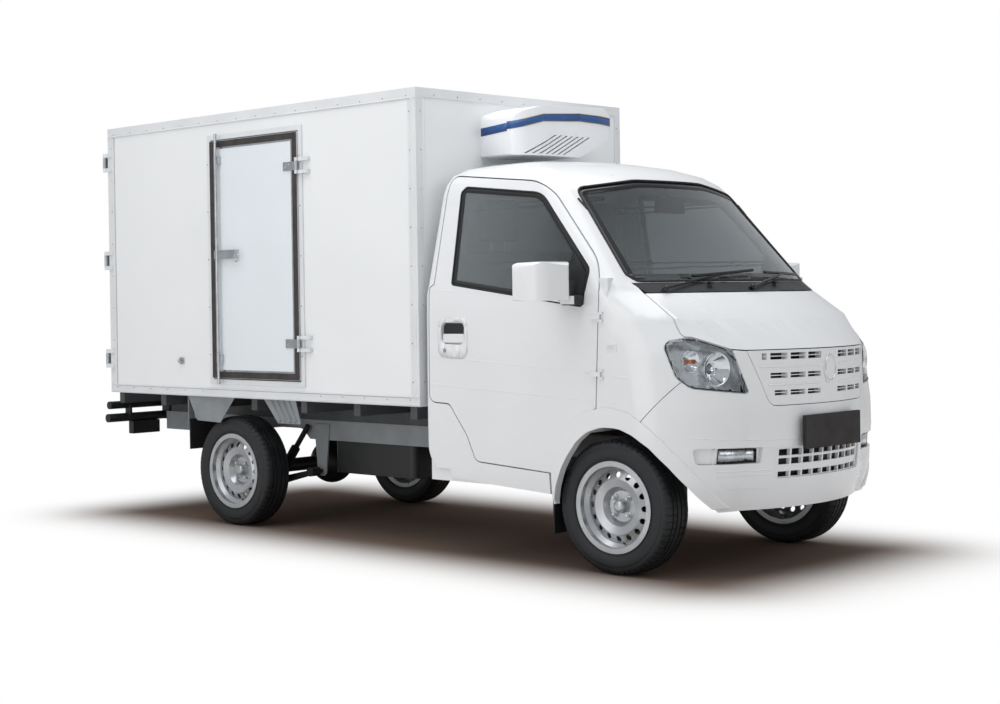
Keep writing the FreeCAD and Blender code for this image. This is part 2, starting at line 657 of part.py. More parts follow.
def build_frame():
    """Two side members with cross members and spring hangers."""
    bottom = frame_top - frame_height
    outer, front_outer = frame_half + 20, front_rail_half + 30
    rail = plan_prism(((frame_end, outer), (-760.0, outer), (-520.0, front_outer),
                       (rail_front, front_outer), (rail_front, front_outer - rail_width),
                       (-540.0, front_outer - rail_width), (-780.0, outer - rail_width),
                       (frame_end, outer - rail_width)), bottom, frame_top)
    pieces = [rail, mirrored(rail)]
    for x, width in ((380.0, front_outer), (-330.0, front_outer), (-1005.0, outer),
                     (-1560.0, outer), (-2150.0, outer), (-2850.0, outer), (frame_end + 30, outer)):
        pieces.append(block(x - 30, x + 30, -width + 20, width - 20, bottom + 15, frame_top - 15))
    for side in (-1, 1):
        hanger = side_prism(((spring_front_x - 55, frame_top - 20), (spring_front_x + 60, frame_top - 20),
                             (spring_front_x + 30, axle_z - 25, 28.0),
                             (spring_front_x - 30, axle_z - 25, 28.0)),
                            min(side * (frame_half + 19), side * (frame_half + 28)),
                            max(side * (frame_half + 19), side * (frame_half + 28)))
        pieces.append(hanger)
    over_axle = side_prism(((rear_axle_x + 310, 430.0), (rear_axle_x + 230, 503.0, 60.0),
                            (rear_axle_x - 230, 503.0, 60.0), (rear_axle_x - 310, 430.0)), -500.0, 500.0)
    frame = fuse(pieces).cut(over_axle)
    for y in (-hitch_y / 2, hitch_y / 2):
        for z in (-hitch_z / 2, hitch_z / 2):
            hole_z = frame_top - frame_height / 2 + z
            frame = frame.cut(rod((frame_end - 20, y, hole_z), (frame_end + 90, y, hole_z), hitch_hole))
    return frame


def bearer_places():
    """Stations of the cross bearers, spread evenly under the box floor."""
    step = (box_length - 130) / (bearer_count - 1)
    return [box_front - 70 - i * step for i in range(bearer_count)]


def build_bearers():
    """Long bearers on the rails and cross bearers under the box floor."""
    low, high = bearer_z + body_clear, box_floor_z - body_clear
    mid = low + 62.0
    pieces = []
    for side in (-1, 1):
        y0, y1 = sorted((side * (frame_half - 25), side * (frame_half + 15)))
        pieces.append(block(frame_end + 40, box_front - 40, y0, y1, low, mid + 1))
    for x in bearer_places():
        pieces.append(block(x - 22, x + 22, 30 - box_half_width, box_half_width - 30, mid, high))
    return fuse(pieces)


def build_chassis():
    save("chassis_frame", build_frame())
    save("box_bearers", build_bearers())
    engine_rear = -975.0 + body_clear
    under_rail = frame_top - frame_height - body_clear
    save("engine_block", block(engine_rear, -570.0, -190.0, 190.0, 350.0, 670.0))
    save("fuel_tank", plan_prism(((-2050.0, -400.0, 40.0), (-1465.0, -400.0, 40.0),
                                  (-1465.0, -100.0, 40.0), (-2050.0, -100.0, 40.0)), 284.0, under_rail))
    # exhaust: pipe, silencer and tail pipe on the left
    pipe = [rod((-1000.0, 230.0, 330.0), (-1400.0, 230.0, 330.0), 24.0),
            rod((-1390.0, 230.0, 340.0), (-1880.0, 230.0, 340.0), 85.0),
            rod((-1870.0, 230.0, 340.0), (-2250.0, 230.0, 400.0), 20.0),
            rod((-1560.0, 230.0, 400.0), (-1560.0, 230.0, frame_top - frame_height + 15 - body_clear), 7.0)]
    save("exhaust", fuse(pipe))
    # rear axle with its differential and propeller shaft
    hub = rear_hub_y
    axle = [disc_y(rear_axle_x, -hub, hub, axle_z, 36.0),
            Part.makeSphere(120.0, Vector(rear_axle_x, 0, axle_z)),
            rod((rear_axle_x + 90, 0, axle_z), (engine_rear - body_clear - 4, 0, 400.0), 32.0)]
    for side in (-1, 1):
        axle.append(disc_y(rear_axle_x, side * (hub - 26), side * (hub - 18), axle_z, 128.0))
        axle.append(disc_y(rear_axle_x, side * (hub - 30), side * (half_track + 30), axle_z, spindle_radius))
        axle.append(block(rear_axle_x - 55, rear_axle_x + 55, side * spring_y - 32,
                          side * spring_y + 32, axle_z - 52, axle_z - 20))
    save("rear_axle", fuse(axle))
    # leaf springs with shackles, and the dampers beside them
    springs = []
    for side in (-1, 1):
        y0, y1 = side * spring_y - 30, side * spring_y + 30
        seat_top = axle_z - 52 - body_clear
        leaves = side_prism(((spring_front_x, axle_z - 10), (spring_front_x, axle_z + 12),
                             (rear_axle_x + 75, seat_top, 150.0), (rear_axle_x - 75, seat_top, 150.0),
                             (spring_rear_x, axle_z + 62), (spring_rear_x, axle_z + 44),
                             (rear_axle_x - 95, seat_top - 34, 200.0),
                             (rear_axle_x + 95, seat_top - 34, 200.0)), y0, y1)
        eye = disc_y(spring_front_x, y0, y1, axle_z + 2, 24.0)
        rear_eye = disc_y(spring_rear_x, y0, y1, axle_z + 54, 22.0)
        pin = disc_y(spring_front_x, min(side * (frame_half + 28.3), y0 if side > 0 else y1),
                     max(side * (frame_half + 28.3), y0 if side > 0 else y1), axle_z + 2, 9.0)
        shackle = [disc_y(spring_rear_x, side * (frame_half + 20.3), side * spring_y, axle_z + 54, 9.0),
                   rod((spring_rear_x, side * (frame_half + 40), axle_z + 54),
                       (spring_rear_x - 20, side * (frame_half + 40), frame_top - 40), 10.0),
                   disc_y(spring_rear_x - 20, side * (frame_half + 20.3), side * (frame_half + 48),
                          frame_top - 40, 12.0)]
        springs.append(fuse([leaves, eye, rear_eye, pin] + shackle))
    save("leaf_springs", springs)
    # front suspension: cross member, lower arms and the towers that hold the struts
    rail_out = front_rail_half + 30
    pieces = [block(-60.0, 60.0, -front_rail_half, front_rail_half, 375.0, under_rail)]
    for side in (-1, 1):
        pieces.append(block(-45, 45, *sorted((side * 240, side * 310)), 240.0, 380.0))
        pieces.append(rod((0.0, side * 290, 262.0), (0.0, side * (ball_y - 32.5), ball_z - 6), 20.0))
        pieces.append(block(-55, 55, *sorted((side * (rail_out + body_clear), side * (rail_out + 10))),
                            470.0, strut_top + 9))
        pieces.append(block(-55, 55, *sorted((side * (rail_out + body_clear), side * (mount_y + 30))),
                            strut_top + 0.8, strut_top + 9))
    towers = pieces[3::4] + pieces[4::4]
    arms = [piece for piece in pieces if piece not in towers]
    save("front_suspension", [fuse(arms), fuse(towers[0::2]), fuse(towers[1::2])])


# ---- wheels ----

def tyre(cx, cy):
    """Plain ring tyre with rounded shoulders."""
    w, r = tyre_width / 2, tyre_radius
    inner, bead, lip = rim_radius + 1.0, rim_width / 2 - body_clear, rim_flange + 2.0
    profile = rounded(((-bead, inner), (-bead, lip, 4.0), (-w, lip + 34, 25.0), (-w + 6, r - 14, 26.0),
                       (-w + 26, r, 16.0), (w - 26, r, 16.0), (w - 6, r - 14, 26.0),
                       (w, lip + 34, 25.0), (bead, lip, 4.0), (bead, inner)),
                      lambda y, z: Vector(cx, cy + y, axle_z + z))
    return Part.Face(profile).revolve(Vector(cx, cy, axle_z), Vector(0, 1, 0), 360)


def rim(cx, cy, side):
    """Pressed steel wheel: well, outer flanges and a dished disc with round holes."""
    w = rim_width / 2
    t = 5.0
    s = side
    ring = ((-w, rim_radius + 0.7), (-w, rim_flange), (-w - 5, rim_flange), (-w - 5, rim_radius - t),
            (-w + 20, rim_radius - t), (-w + 34, 160.0 - t), (w - 34, 160.0 - t),
            (w - 20, rim_radius - t), (w + 5, rim_radius - t), (w + 5, rim_flange), (w, rim_flange),
            (w, rim_radius + 0.7), (w - 16, rim_radius + 0.7), (w - 30, 160.0), (-w + 30, 160.0),
            (-w + 16, rim_radius + 0.7))
    band = Part.Face(rounded([(y, z) for y, z in ring],
                             lambda y, z: Vector(cx, cy + y, axle_z + z)))
    band = band.revolve(Vector(cx, cy, axle_z), Vector(0, 1, 0), 360)
    dish = ((hub_bore, 8.0), (66.0, 8.0), (84.0, 34.0), (118.0, 44.0), (157.0, 26.0),
            (157.0, 20.0), (118.0, 38.0), (88.0, 28.0), (70.0, 2.0), (hub_bore, 2.0))
    disc = Part.Face(rounded([(r, y) for r, y in dish],
                             lambda r, y: Vector(cx, cy + s * y, axle_z + r)))
    disc = disc.revolve(Vector(cx, cy, axle_z), Vector(0, 1, 0), 360)
    holes = []
    for i in range(vent_holes):
        angle = 2 * math.pi * i / vent_holes
        x, z = cx + 136 * math.cos(angle), axle_z + 136 * math.sin(angle)
        holes.append(disc_y(x, cy - 80, cy + 80, z, 12.5))
    disc = disc.cut(Part.makeCompound(holes))
    return largest(band.fuse(disc))


def steering_line(side, z):
    """Point of the steering axis at height z, from the lower ball joint to the strut mount."""
    share = (z - ball_z) / (strut_top - ball_z)
    return 0.0, side * (ball_y + (mount_y - ball_y) * share), z


def knuckle(side):
    """Steering knuckle: spindle, brake disc, upright, strut and steering arm."""
    inner_y, outer = side * (ball_y - 18), side * (half_track + 30)
    body = [disc_y(0.0, *sorted((inner_y, outer)), axle_z, spindle_radius),
            rod(steering_line(side, ball_z - 10), steering_line(side, axle_z + 20), 24.0),
            rod((0, side * (ball_y - 14), axle_z), (0, side * (mount_y + 14), axle_z + 108), 22.0),
            rod((0, side * (mount_y + 10), axle_z + 85), (0, side * (mount_y + 5), 520.0), 24.0),
            rod(steering_line(side, 508.0), steering_line(side, strut_top - 3.0), 11.0),
            disc_y(0.0, *sorted((side * (ball_y + 14), side * (ball_y + 26))), axle_z, 118.0),
            rod((0.0, side * (ball_y - 6), axle_z - 30), (-125.0, side * (ball_y - 45), axle_z - 30), 12.0)]
    return fuse(body)


def build_wheels():
    for name, x, side in (("front_left", 0.0, 1), ("front_right", 0.0, -1),
                          ("rear_left", rear_axle_x, 1), ("rear_right", rear_axle_x, -1)):
        save("tyre_" + name, tyre(x, side * half_track))
        save("rim_" + name, rim(x, side * half_track, side))
    save("knuckle_left", knuckle(1))
    save("knuckle_right", knuckle(-1))


# ---- refrigerated box ----


def build_box():
    half = box_half_width - rail_proud
    front, rear = box_front - rail_proud, box_rear + rail_proud
    low, high = box_floor_z, box_top - rail_proud
    wall = box_wall
    opening = block(door_front_x - door_length, door_front_x, -900, -600, door_low, door_high)
    inside = rear_frame_depth
    floor = block(rear + inside, front - wall - panel_gap,
                  -half + wall + panel_gap, half - wall - panel_gap, low,
                  low + wall)
    roof = block(rear + inside, front - wall - panel_gap, -half + wall + panel_gap, half - wall - panel_gap,
                 high - wall, high)
    front_wall = block(front - wall, front, -half + wall + panel_gap, half - wall - panel_gap,
                       low, high)
    left = block(rear + inside, front, half - wall, half, low, high)
    right = block(rear + inside, front, -half, -half + wall, low, high).cut(opening)
    save("box_panels", [floor, roof, front_wall, left, right])


def build_rails():
    """Edge profiles round the box, the rear door frame and the side door's frame."""
    half, top, low = box_half_width, box_top, box_floor_z
    pieces = []
    corner = edge_rail
    for side in (-1, 1):
        y0, y1 = sorted((side * half, side * (half - rail_proud + rail_seat)))
        pieces.append(block(box_rear, box_front, y0, y1, top - corner, top))
        pieces.append(block(box_rear, box_front, y0, y1, low, low + corner - 6))
        pieces.append(block(box_front - corner - 10, box_front, y0, y1, low, top))
        pieces.append(block(box_rear, box_rear + corner, y0, y1, low, top))
        pieces.append(block(box_front - rail_proud + rail_seat, box_front, min(y0, side * (half - corner)),
                            max(y1, side * (half - corner)), low, top))
        pieces.append(block(box_rear, box_front, min(y1, side * (half - corner)) if side < 0 else
                            half - corner, max(-half + corner, y0) if side < 0 else half,
                            top - rail_proud + rail_seat, top))
    pieces.append(block(box_front - rail_proud + rail_seat, box_front, -half, half, top - corner, top))
    pieces.append(block(box_front - rail_proud + rail_seat, box_front, -half, half, low, low + corner - 6))
    pieces.append(block(box_front - corner, box_front, -half, half, top - rail_proud + rail_seat, top))
    pieces.append(block(box_rear, box_rear + corner, -half, half, top - rail_proud + rail_seat, top))
    rear = box_rear
    frame = block(rear, rear + rear_frame_depth, -half, half, low, top)
    mouth = block(rear - 10, rear + 200, -half + corner, half - corner, low + corner - 5,
                  top - corner + 5)
    pieces.append(frame.cut(mouth))
    for side in (-1, 1):
        for z in rear_hinge_heights:
            for away in (-1, 1):
                low_z, high_z = sorted((z + away * (30 + body_clear), z + away * 52))
                pieces.append(rod((rear_hinge_x, side * rear_hinge_y, low_z),
                                  (rear_hinge_x, side * rear_hinge_y, high_z), 9.0))
                pieces.append(block(rear_hinge_x - 4, rear + 40, *sorted((side * (half - 2),
                              side * (rear_hinge_y + 3))), low_z, high_z))
    return fuse(pieces)


def build_box_doors():
    half = box_half_width - rail_proud
    # side door: plug panel with an outer overlapping skin
    x0, x1 = door_front_x - door_length, door_front_x
    y_out = -box_half_width - 12.0
    panel = block(x0 + 11, x1 - 6, y_out, -half + box_wall - 2, door_low + 6, door_high - 6)
    save("side_door", panel)
    hinge_x, hinge_face = door_front_x + 5.0, y_out - 6.0
    skin_y = -half
    frame = block(x0 - 30, x1 + 26, skin_y - 9, skin_y - body_clear, door_low - 26, door_high + 26)
    frame = [frame.cut(block(x0, x1, -900, 0, door_low, door_high))]
    hinges = []
    for z in side_hinge_heights:
        leaf = block(hinge_x - 105, hinge_x, hinge_face, y_out - body_clear, z - 22, z + 22)
        barrel = rod((hinge_x, hinge_face - 7, z - 22), (hinge_x, hinge_face - 7, z + 22), 7.5)
        hinges.append(leaf.fuse(barrel))
        for away in (-1, 1):
            low_z, high_z = sorted((z + away * (22 + body_clear), z + away * 40))
            frame.append(block(hinge_x, hinge_x + 75, hinge_face, skin_y - 5, low_z, high_z))
            frame.append(rod((hinge_x, hinge_face - 7, low_z), (hinge_x, hinge_face - 7, high_z), 7.5))
    save("side_door_frame", fuse(frame))
    # twin rear doors between the corner posts
    for name, side in (("left", 1), ("right", -1)):
        y0, y1 = sorted((side * seam / 2, side * (box_half_width - edge_rail - seam)))
        leaf = block(box_rear - rear_door_proud, box_rear - rear_door_proud + rear_door_thickness,
                     y0, y1, box_floor_z + edge_rail, box_top - edge_rail)
        save("rear_door_" + name, leaf)
    # lock gear of the side door
    bar_x = door_front_x - door_length + 78
    bar = [rod((bar_x, y_out - 22, door_low - 25), (bar_x, y_out - 22, door_high + 28), 9.0),
           block(bar_x - 18, bar_x + 18, y_out - 22, y_out - 0.3, door_low + 90, door_low + 130),
           block(bar_x - 18, bar_x + 18, y_out - 22, y_out - 0.3, door_high - 130, door_high - 90),
           block(bar_x - 20, bar_x + 150, y_out - 26, y_out - 0.3, 1400.0, 1445.0)]
    save("side_door_gear", [fuse(bar)] + hinges)
    # lock bar and hinge straps of each rear door
    face = box_rear - rear_door_proud - body_clear
    for name, side in (("left", 1), ("right", -1)):
        bar_y = side * 90
        parts = [rod((face - 20, bar_y, box_floor_z + 20), (face - 20, bar_y, box_top - 12), 9.0)]
        for z in (box_floor_z + 160, box_top - 160, 1390.0):
            parts.append(block(face - 20, face, *sorted((bar_y - 18, bar_y + 18)), z - 20, z + 20))
        gear = [fuse(parts)]
        for z in rear_hinge_heights:
            strap = block(face - 6, face, *sorted((side * (box_half_width - 190), side * rear_hinge_y)),
                          z - 30, z + 30)
            y = side * rear_hinge_y
            pin = rod((rear_hinge_x, y, z - 30), (rear_hinge_x, y, z + 30), 9.0)
            gear.append(fuse([strap, pin]))
        save("rear_door_gear_" + name, gear)


# front view of the refrigeration unit (y, z, radius)
fridge_outline = (
    (fridge_right - 2, fridge_low, 14.0), (fridge_right - 2, 2048.0, 50.0), (-168.0, 2090.0, 300.0),
    (308.0, 2104.0, 60.0), (fridge_left + 2, 2050.0, 55.0), (fridge_left + 2, 1975.0, 25.0),
    (94.0, fridge_low, 30.0),
)


def build_fridge():
    """Refrigeration unit on the front wall over the cab, evaporator inside."""
    x0, x1 = box_front - rail_proud + body_clear, box_front + fridge_depth
    plan = plan_prism(((x0, fridge_right), (x1 - 34, fridge_right, 70.0), (x1, fridge_right + 150, 400.0),
                       (x1, fridge_left - 148, 400.0), (x1 - 34, fridge_left, 70.0), (x0, fridge_left)),
                      fridge_low - 10, box_top)
    cover = plan.common(front_prism(fridge_outline, x0 - 5, x1 + 5))
    slots = []
    for i in range(louvre_count):
        start = fridge_right + 35 + i * louvre_pitch
        slots.append(front_prism(((start, 1858.0), (start + 196, 1951.0), (start + 211, 1951.0),
                                  (start + 15, 1858.0)), x1 - 30, x1 + 10))
    save("refrigeration_unit", largest(cover.cut(Part.makeCompound(slots))))
    inner = box_front - rail_proud - box_wall
    save("evaporator", block(inner - 330, inner - body_clear, -400, 400,
                             box_top - box_wall - 190, box_top - box_wall - rail_proud - body_clear))


def build_interior():
    seats = []
    for side in (-1, 1):
        y = side * 370.0
        low = seat_base_z + body_clear
        cushion = side_prism(((-930.0, low, 20.0), (-430.0, low, 40.0), (-430.0, 820.0, 50.0),
                              (-930.0, 810.0, 20.0)), y - 235, y + 235)
        back = side_prism(((-960.0, 780.0, 20.0), (-830.0, 790.0, 20.0), (-885.0, 1390.0, 40.0),
                           (-970.0, 1390.0, 20.0)), y - 225, y + 225)
        head = side_prism(((-960.0, 1440.0, 20.0), (-880.0, 1440.0, 20.0), (-880.0, 1640.0, 30.0),
                           (-950.0, 1640.0, 30.0)), y - 130, y + 130)
        posts = [rod((-922.0, y + o, 1350.0), (-922.0, y + o, 1460.0), 8.0) for o in (-50.0, 50.0)]
        seats.append(fuse([cushion, back, head] + posts))
    save("seats", seats)
    dash = side_prism(((-body_clear, 800.0), (-body_clear, 1150.0, 20.0), (-150.0, 1150.0, 50.0),
                       (-260.0, 1080.0, 50.0), (-230.0, 900.0, 40.0), (-60.0, 800.0, 20.0)), -640, 640)
    column = rod(column_point(-320.0), column_point(-20.0 - body_clear), 26.0)
    dash = dash.cut(rod(column_point(-60.0), column_point(20.0), 60.0))
    save("dashboard", fuse([dash, column]))
    ring = Part.makeTorus(steering_ring, 14.0, Vector(*column_point(25.0)), column_axis())
    hub = Part.makeCylinder(45.0, 45.0, Vector(*column_point(-20.0)), column_axis())
    spokes = []
    for angle in (0.0, 120.0, 240.0):
        arm = Part.makeCylinder(11.0, steering_ring - 8, Vector(0, 0, 0), Vector(1, 0, 0))
        arm.rotate(Vector(0, 0, 0), Vector(0, 0, 1), angle + 30)
        arm.rotate(Vector(0, 0, 0), Vector(0, 1, 0), -column_tilt)
        start = Vector(*column_point(8.0))
        arm.translate(start)
        spokes.append(arm)
    save("steering_wheel", fuse([ring, hub] + spokes))


def column_point(distance):
    """Point on the steering column's axis, beyond its upper end."""
    t = math.radians(column_tilt)
    x0, z0 = -345.0, 1120.0
    return x0 - distance * math.sin(t), wheel_y, z0 + distance * math.cos(t)


def column_axis():
    t = math.radians(column_tilt)
    return Vector(-math.sin(t), 0, math.cos(t))


def build_outside():
    """Mirrors, mud flaps, underrun bars, lamps and plates."""
    door_face = -cab_half_width + 4.6
    head = plan_prism(((-100.0, -815.0, 40.0), (-128.0, -990.0, 70.0), (-296.0, -1004.0, 16.0),
                       (-262.0, -826.0, 16.0)), 1162.0, 1325.0)
    head = head.common(side_prism(((-70.0, 1160.0, 40.0), (-100.0, 1327.0, 60.0), (-299.0, 1322.0, 30.0),
                                   (-299.0, 1160.0, 30.0)), -1020.0, -800.0))
    head = head.common(front_prism(((-1010.0, 1158.0, 26.0), (-1000.0, 1329.0, 46.0), (-806.0, 1329.0, 30.0),
                                    (-806.0, 1158.0, 8.0)), -320.0, -60.0))
    arm = block(-165.0, -100.0, -835.0, door_face, 1145.0, 1180.0)
    mirror = fuse([arm, head])
    save("mirror_right", mirror)
    save("mirror_left", mirrored(mirror))
    flaps = []
    for side in (-1, 1):
        flaps.append(block(front_flap_x, front_flap_x + 7, *sorted((side * 592, side * 718)), 150.0, 420.0))
        flaps.append(block(rear_axle_x - 345, rear_axle_x - 337, *sorted((side * 545, side * 725)),
                           385.0, flap_top))
    save("mud_flaps", flaps)
    x = rear_end + 40.0
    bars = [disc_y(x, -780, 780, upper_bar_z, 22.0), disc_y(x, -790, 790, lower_bar_z, lower_bar)]
    for side in (-1, 1):
        bars.append(block(x - 8, frame_end - body_clear, *sorted((side * 380, side * 400)), 505.0, 610.0))
        bars.append(block(x - 8, x + 42, *sorted((side * 650, side * 662)), 520.0,
                          box_floor_z - body_clear))
    save("rear_underrun", fuse(bars))
    lamps_top = lower_bar_z - lower_bar - body_clear
    lamps = [block(x - 22, x + 22, *sorted((side * 440, side * 630)), lamps_top - 72, lamps_top)
             for side in (-1, 1)]
    save("tail_lamps", lamps)
    front_face = 607.0 + body_clear
    save("number_plates", [block(front_face, front_overhang, -214, 214, 530, 670),
                           block(rear_end, x - lower_bar - body_clear, -214, 214, 470, 610)])


def build_brackets():
    """Ribbed gussets ahead of the rear wheels, plates behind them and the flap stays."""
    top = box_floor_z - body_clear
    pieces = []
    for side in (-1, 1):
        y0, y1 = sorted((side * (box_half_width - 27), side * (box_half_width - 23)))
        plate = side_prism(((-2205.0, top), (-2098.0, 556.0, 8.0), (-1922.0, 556.0, 8.0), (-1962.0, top)),
                           y0, y1)
        y = side * (box_half_width - 23)
        bars = [rod((-2150.0 + 45 * i, y, top - 1), (-2080.0 + 40 * i, y, 566.0), 8.0) for i in range(4)]
        ribs = [bar.common(block(-2300, -1900, -cab_side, cab_side, 540, top)) for bar in bars]
        pieces.append(fuse([plate] + ribs))
        pieces.append(side_prism(((-2830.0, top), (-2755.0, 545.0, 8.0), (-2560.0, 540.0, 8.0),
                                  (-2440.0, top)), y0, y1))
        x = rear_axle_x - 345 - body_clear
        stay = block(x - 6, x, *sorted((side * (box_half_width - 77), side * (box_half_width - 37))),
                     flap_top - 25, top)
        for station in bearer_places():
            stay = stay.cut(block(station - 22 - body_clear, station + 22 + body_clear, -box_half_width,
                                  box_half_width, bearer_z + 62.0, box_floor_z))
        pieces.append(stay)
    save("body_brackets", pieces)


build_cab()
build_brackets()
build_chassis()
build_wheels()
build_box()
save("box_rails", build_rails())
build_box_doors()
build_fridge()
build_interior()
build_outside()
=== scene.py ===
import json
import math
import bmesh
import bpy
from mathutils import Matrix, Vector
from mathutils.bvhtree import BVHTree


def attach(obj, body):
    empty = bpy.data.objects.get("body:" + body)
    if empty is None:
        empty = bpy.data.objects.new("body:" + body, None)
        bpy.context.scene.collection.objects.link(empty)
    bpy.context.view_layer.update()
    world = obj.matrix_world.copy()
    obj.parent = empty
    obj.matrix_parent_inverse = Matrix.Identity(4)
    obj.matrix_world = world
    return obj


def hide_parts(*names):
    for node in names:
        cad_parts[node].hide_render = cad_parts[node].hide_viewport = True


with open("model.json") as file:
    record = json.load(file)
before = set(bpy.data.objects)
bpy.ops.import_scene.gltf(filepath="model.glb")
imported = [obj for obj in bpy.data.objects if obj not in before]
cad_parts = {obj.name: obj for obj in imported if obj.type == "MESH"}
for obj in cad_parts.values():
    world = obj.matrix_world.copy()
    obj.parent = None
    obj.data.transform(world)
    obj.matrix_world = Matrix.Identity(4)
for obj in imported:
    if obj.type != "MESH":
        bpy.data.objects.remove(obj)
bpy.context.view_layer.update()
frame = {"nodes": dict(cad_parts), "record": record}
nodes = frame["nodes"]

# Metres. +X points to the front of the cab, +Y to its left, +Z up; the ground is z = 0.
axles = {"frontX": 1.46, "rearX": -1.04, "y": 0.635, "z": 0.287}
sides = (("right", -1), ("left", 1))


def linkObject(name, data):
    made = bpy.data.objects.new(name, data)
    bpy.context.scene.collection.objects.link(made)
    return made


# ---- camera, stage and light ----

def makeCamera():
    view = {"place": (5.974, -6.492, 1.186), "yaw": 136.62, "pitch": -0.37, "roll": -0.90,
            "lens": 62.11, "shiftX": 0.1525, "shiftY": -0.0428}
    yaw, pitch, roll = (math.radians(view[k]) for k in ("yaw", "pitch", "roll"))
    look = Vector((math.cos(pitch) * math.cos(yaw), math.cos(pitch) * math.sin(yaw), math.sin(pitch)))
    right = look.cross(Vector((0, 0, 1))).normalized()
    up = right.cross(look)
    rightRolled = right * math.cos(roll) + up * math.sin(roll)
    upRolled = up * math.cos(roll) - right * math.sin(roll)
    turn = Matrix((rightRolled, upRolled, -look)).transposed().to_4x4()
    data = bpy.data.cameras.new("camera")
    data.lens = view["lens"]
    data.sensor_width = 36
    data.shift_x = view["shiftX"]
    data.shift_y = view["shiftY"]
    camera = linkObject("camera", data)
    camera.matrix_world = Matrix.Translation(Vector(view["place"])) @ turn
    bpy.context.scene.camera = camera


def toLinear(hexColour):
    channels = [int(hexColour[i:i + 2], 16) / 255 for i in (1, 3, 5)]
    return tuple(c / 12.92 if c <= 0.04045 else ((c + 0.055) / 1.055) ** 2.4 for c in channels) + (1.0,)


def addNode(tree, kind, settings=None, links=None):
    # settings: attribute or input name -> value; links: input name or index -> output socket
    node = tree.nodes.new("ShaderNode" + kind)
    for key, value in (settings or {}).items():
        if isinstance(key, str) and hasattr(node, key) and key not in node.inputs:
            setattr(node, key, value)
        else:
            node.inputs[key].default_value = value
    for key, socket in (links or {}).items():
        tree.links.new(socket, node.inputs[key])
    return node


def emptyTree(owner):
    owner.use_nodes = True
    owner.node_tree.nodes.clear()
    return owner.node_tree


def makeStage():
    stage = {"size": 60.0, "floor": "#F4F2F0", "shade": "#7A6A60", "footprint": (1.85, 0.62, 0),
             "fade": 0.95}
    grid = bmesh.new()
    bmesh.ops.create_grid(grid, x_segments=1, y_segments=1, size=stage["size"])
    mesh = bpy.data.meshes.new("floor")
    grid.to_mesh(mesh)
    grid.free()
    floor = linkObject("floor", mesh)
    material = bpy.data.materials.new("studioFloor")
    tree = emptyTree(material)
    # matte floor near the truck, where the shadow falls, its colour darkened to brown under the truck as a
    # painted shadow; to the camera it fades to the room's white
    ray = addNode(tree, "LightPath")
    seen = addNode(tree, "Math", {"operation": "MAXIMUM"},
                   {0: ray.outputs["Is Camera Ray"], 1: ray.outputs["Is Transmission Ray"]})
    place = addNode(tree, "TexCoord")
    size = addNode(tree, "VectorMath", {"operation": "ABSOLUTE"}, {0: place.outputs["Object"]})
    past = addNode(tree, "VectorMath", {"operation": "SUBTRACT", 1: stage["footprint"]},
                   {0: size.outputs[0]})
    out = addNode(tree, "VectorMath", {"operation": "MAXIMUM", 1: (0, 0, 0)}, {0: past.outputs[0]})
    far = addNode(tree, "VectorMath", {"operation": "LENGTH"}, {0: out.outputs[0]})
    fade = addNode(tree, "MapRange", {"interpolation_type": "SMOOTHSTEP", 1: 0.0, 2: stage["fade"]},
                   {0: far.outputs["Value"]})
    share = addNode(tree, "Math", {"operation": "MULTIPLY"}, {0: fade.outputs[0], 1: seen.outputs[0]})
    # painted shadow: the floor colour runs from brown under the truck to white beyond its footprint
    wearAndShade = addNode(tree, "Mix", {"data_type": "RGBA", 6: toLinear(stage["shade"]),
                                           7: toLinear(stage["floor"])}, {0: fade.outputs[0]})
    matte = addNode(tree, "BsdfDiffuse", None, {"Color": wearAndShade.outputs[2]})
    room = addNode(tree, "Emission", {"Color": (1, 1, 1, 1), "Strength": 1.0})
    both = addNode(tree, "MixShader", None, {0: share.outputs[0], 1: matte.outputs[0], 2: room.outputs[0]})
    addNode(tree, "OutputMaterial", None, {"Surface": both.outputs[0]})
    mesh.materials.append(material)


def makeLight():
    # a white room: soft light from all round, a large soft box above and one on the right side
    world = bpy.data.worlds.new("studio")
    bpy.context.scene.world = world
    tree = emptyTree(world)
    ray = addNode(tree, "LightPath")
    soft = addNode(tree, "Background", {"Color": toLinear("#F5F7FA"), "Strength": 0.56})
    white = addNode(tree, "Background", {"Color": (1, 1, 1, 1), "Strength": 1.0})
    mix = addNode(tree, "MixShader", None,
                  {0: ray.outputs["Is Camera Ray"], 1: soft.outputs[0], 2: white.outputs[0]})
    addNode(tree, "OutputWorld", None, {"Surface": mix.outputs[0]})
    # name, place, aim, size across, size along, watts
    lamps = (("top", (0.2, -0.6, 5.2), (0.0, 0.0, 1.0), 4.5, 6.0, 190),
             ("side", (-0.5, -7.0, 3.2), (0.0, 0.0, 1.1), 4.0, 7.0, 105),
             ("front", (6.5, 0.6, 3.4), (1.0, 0.0, 1.0), 3.0, 3.0, 34))
    for name, place, aim, width, length, watts in lamps:
        data = bpy.data.lights.new(name, "AREA")
        data.shape = "RECTANGLE"
        data.size, data.size_y, data.energy = width, length, watts
        lamp = linkObject(name, data)
        lamp.location = place
        lamp.rotation_euler = (Vector(aim) - Vector(place)).to_track_quat("-Z", "Y").to_euler()


# ---- finishes ----

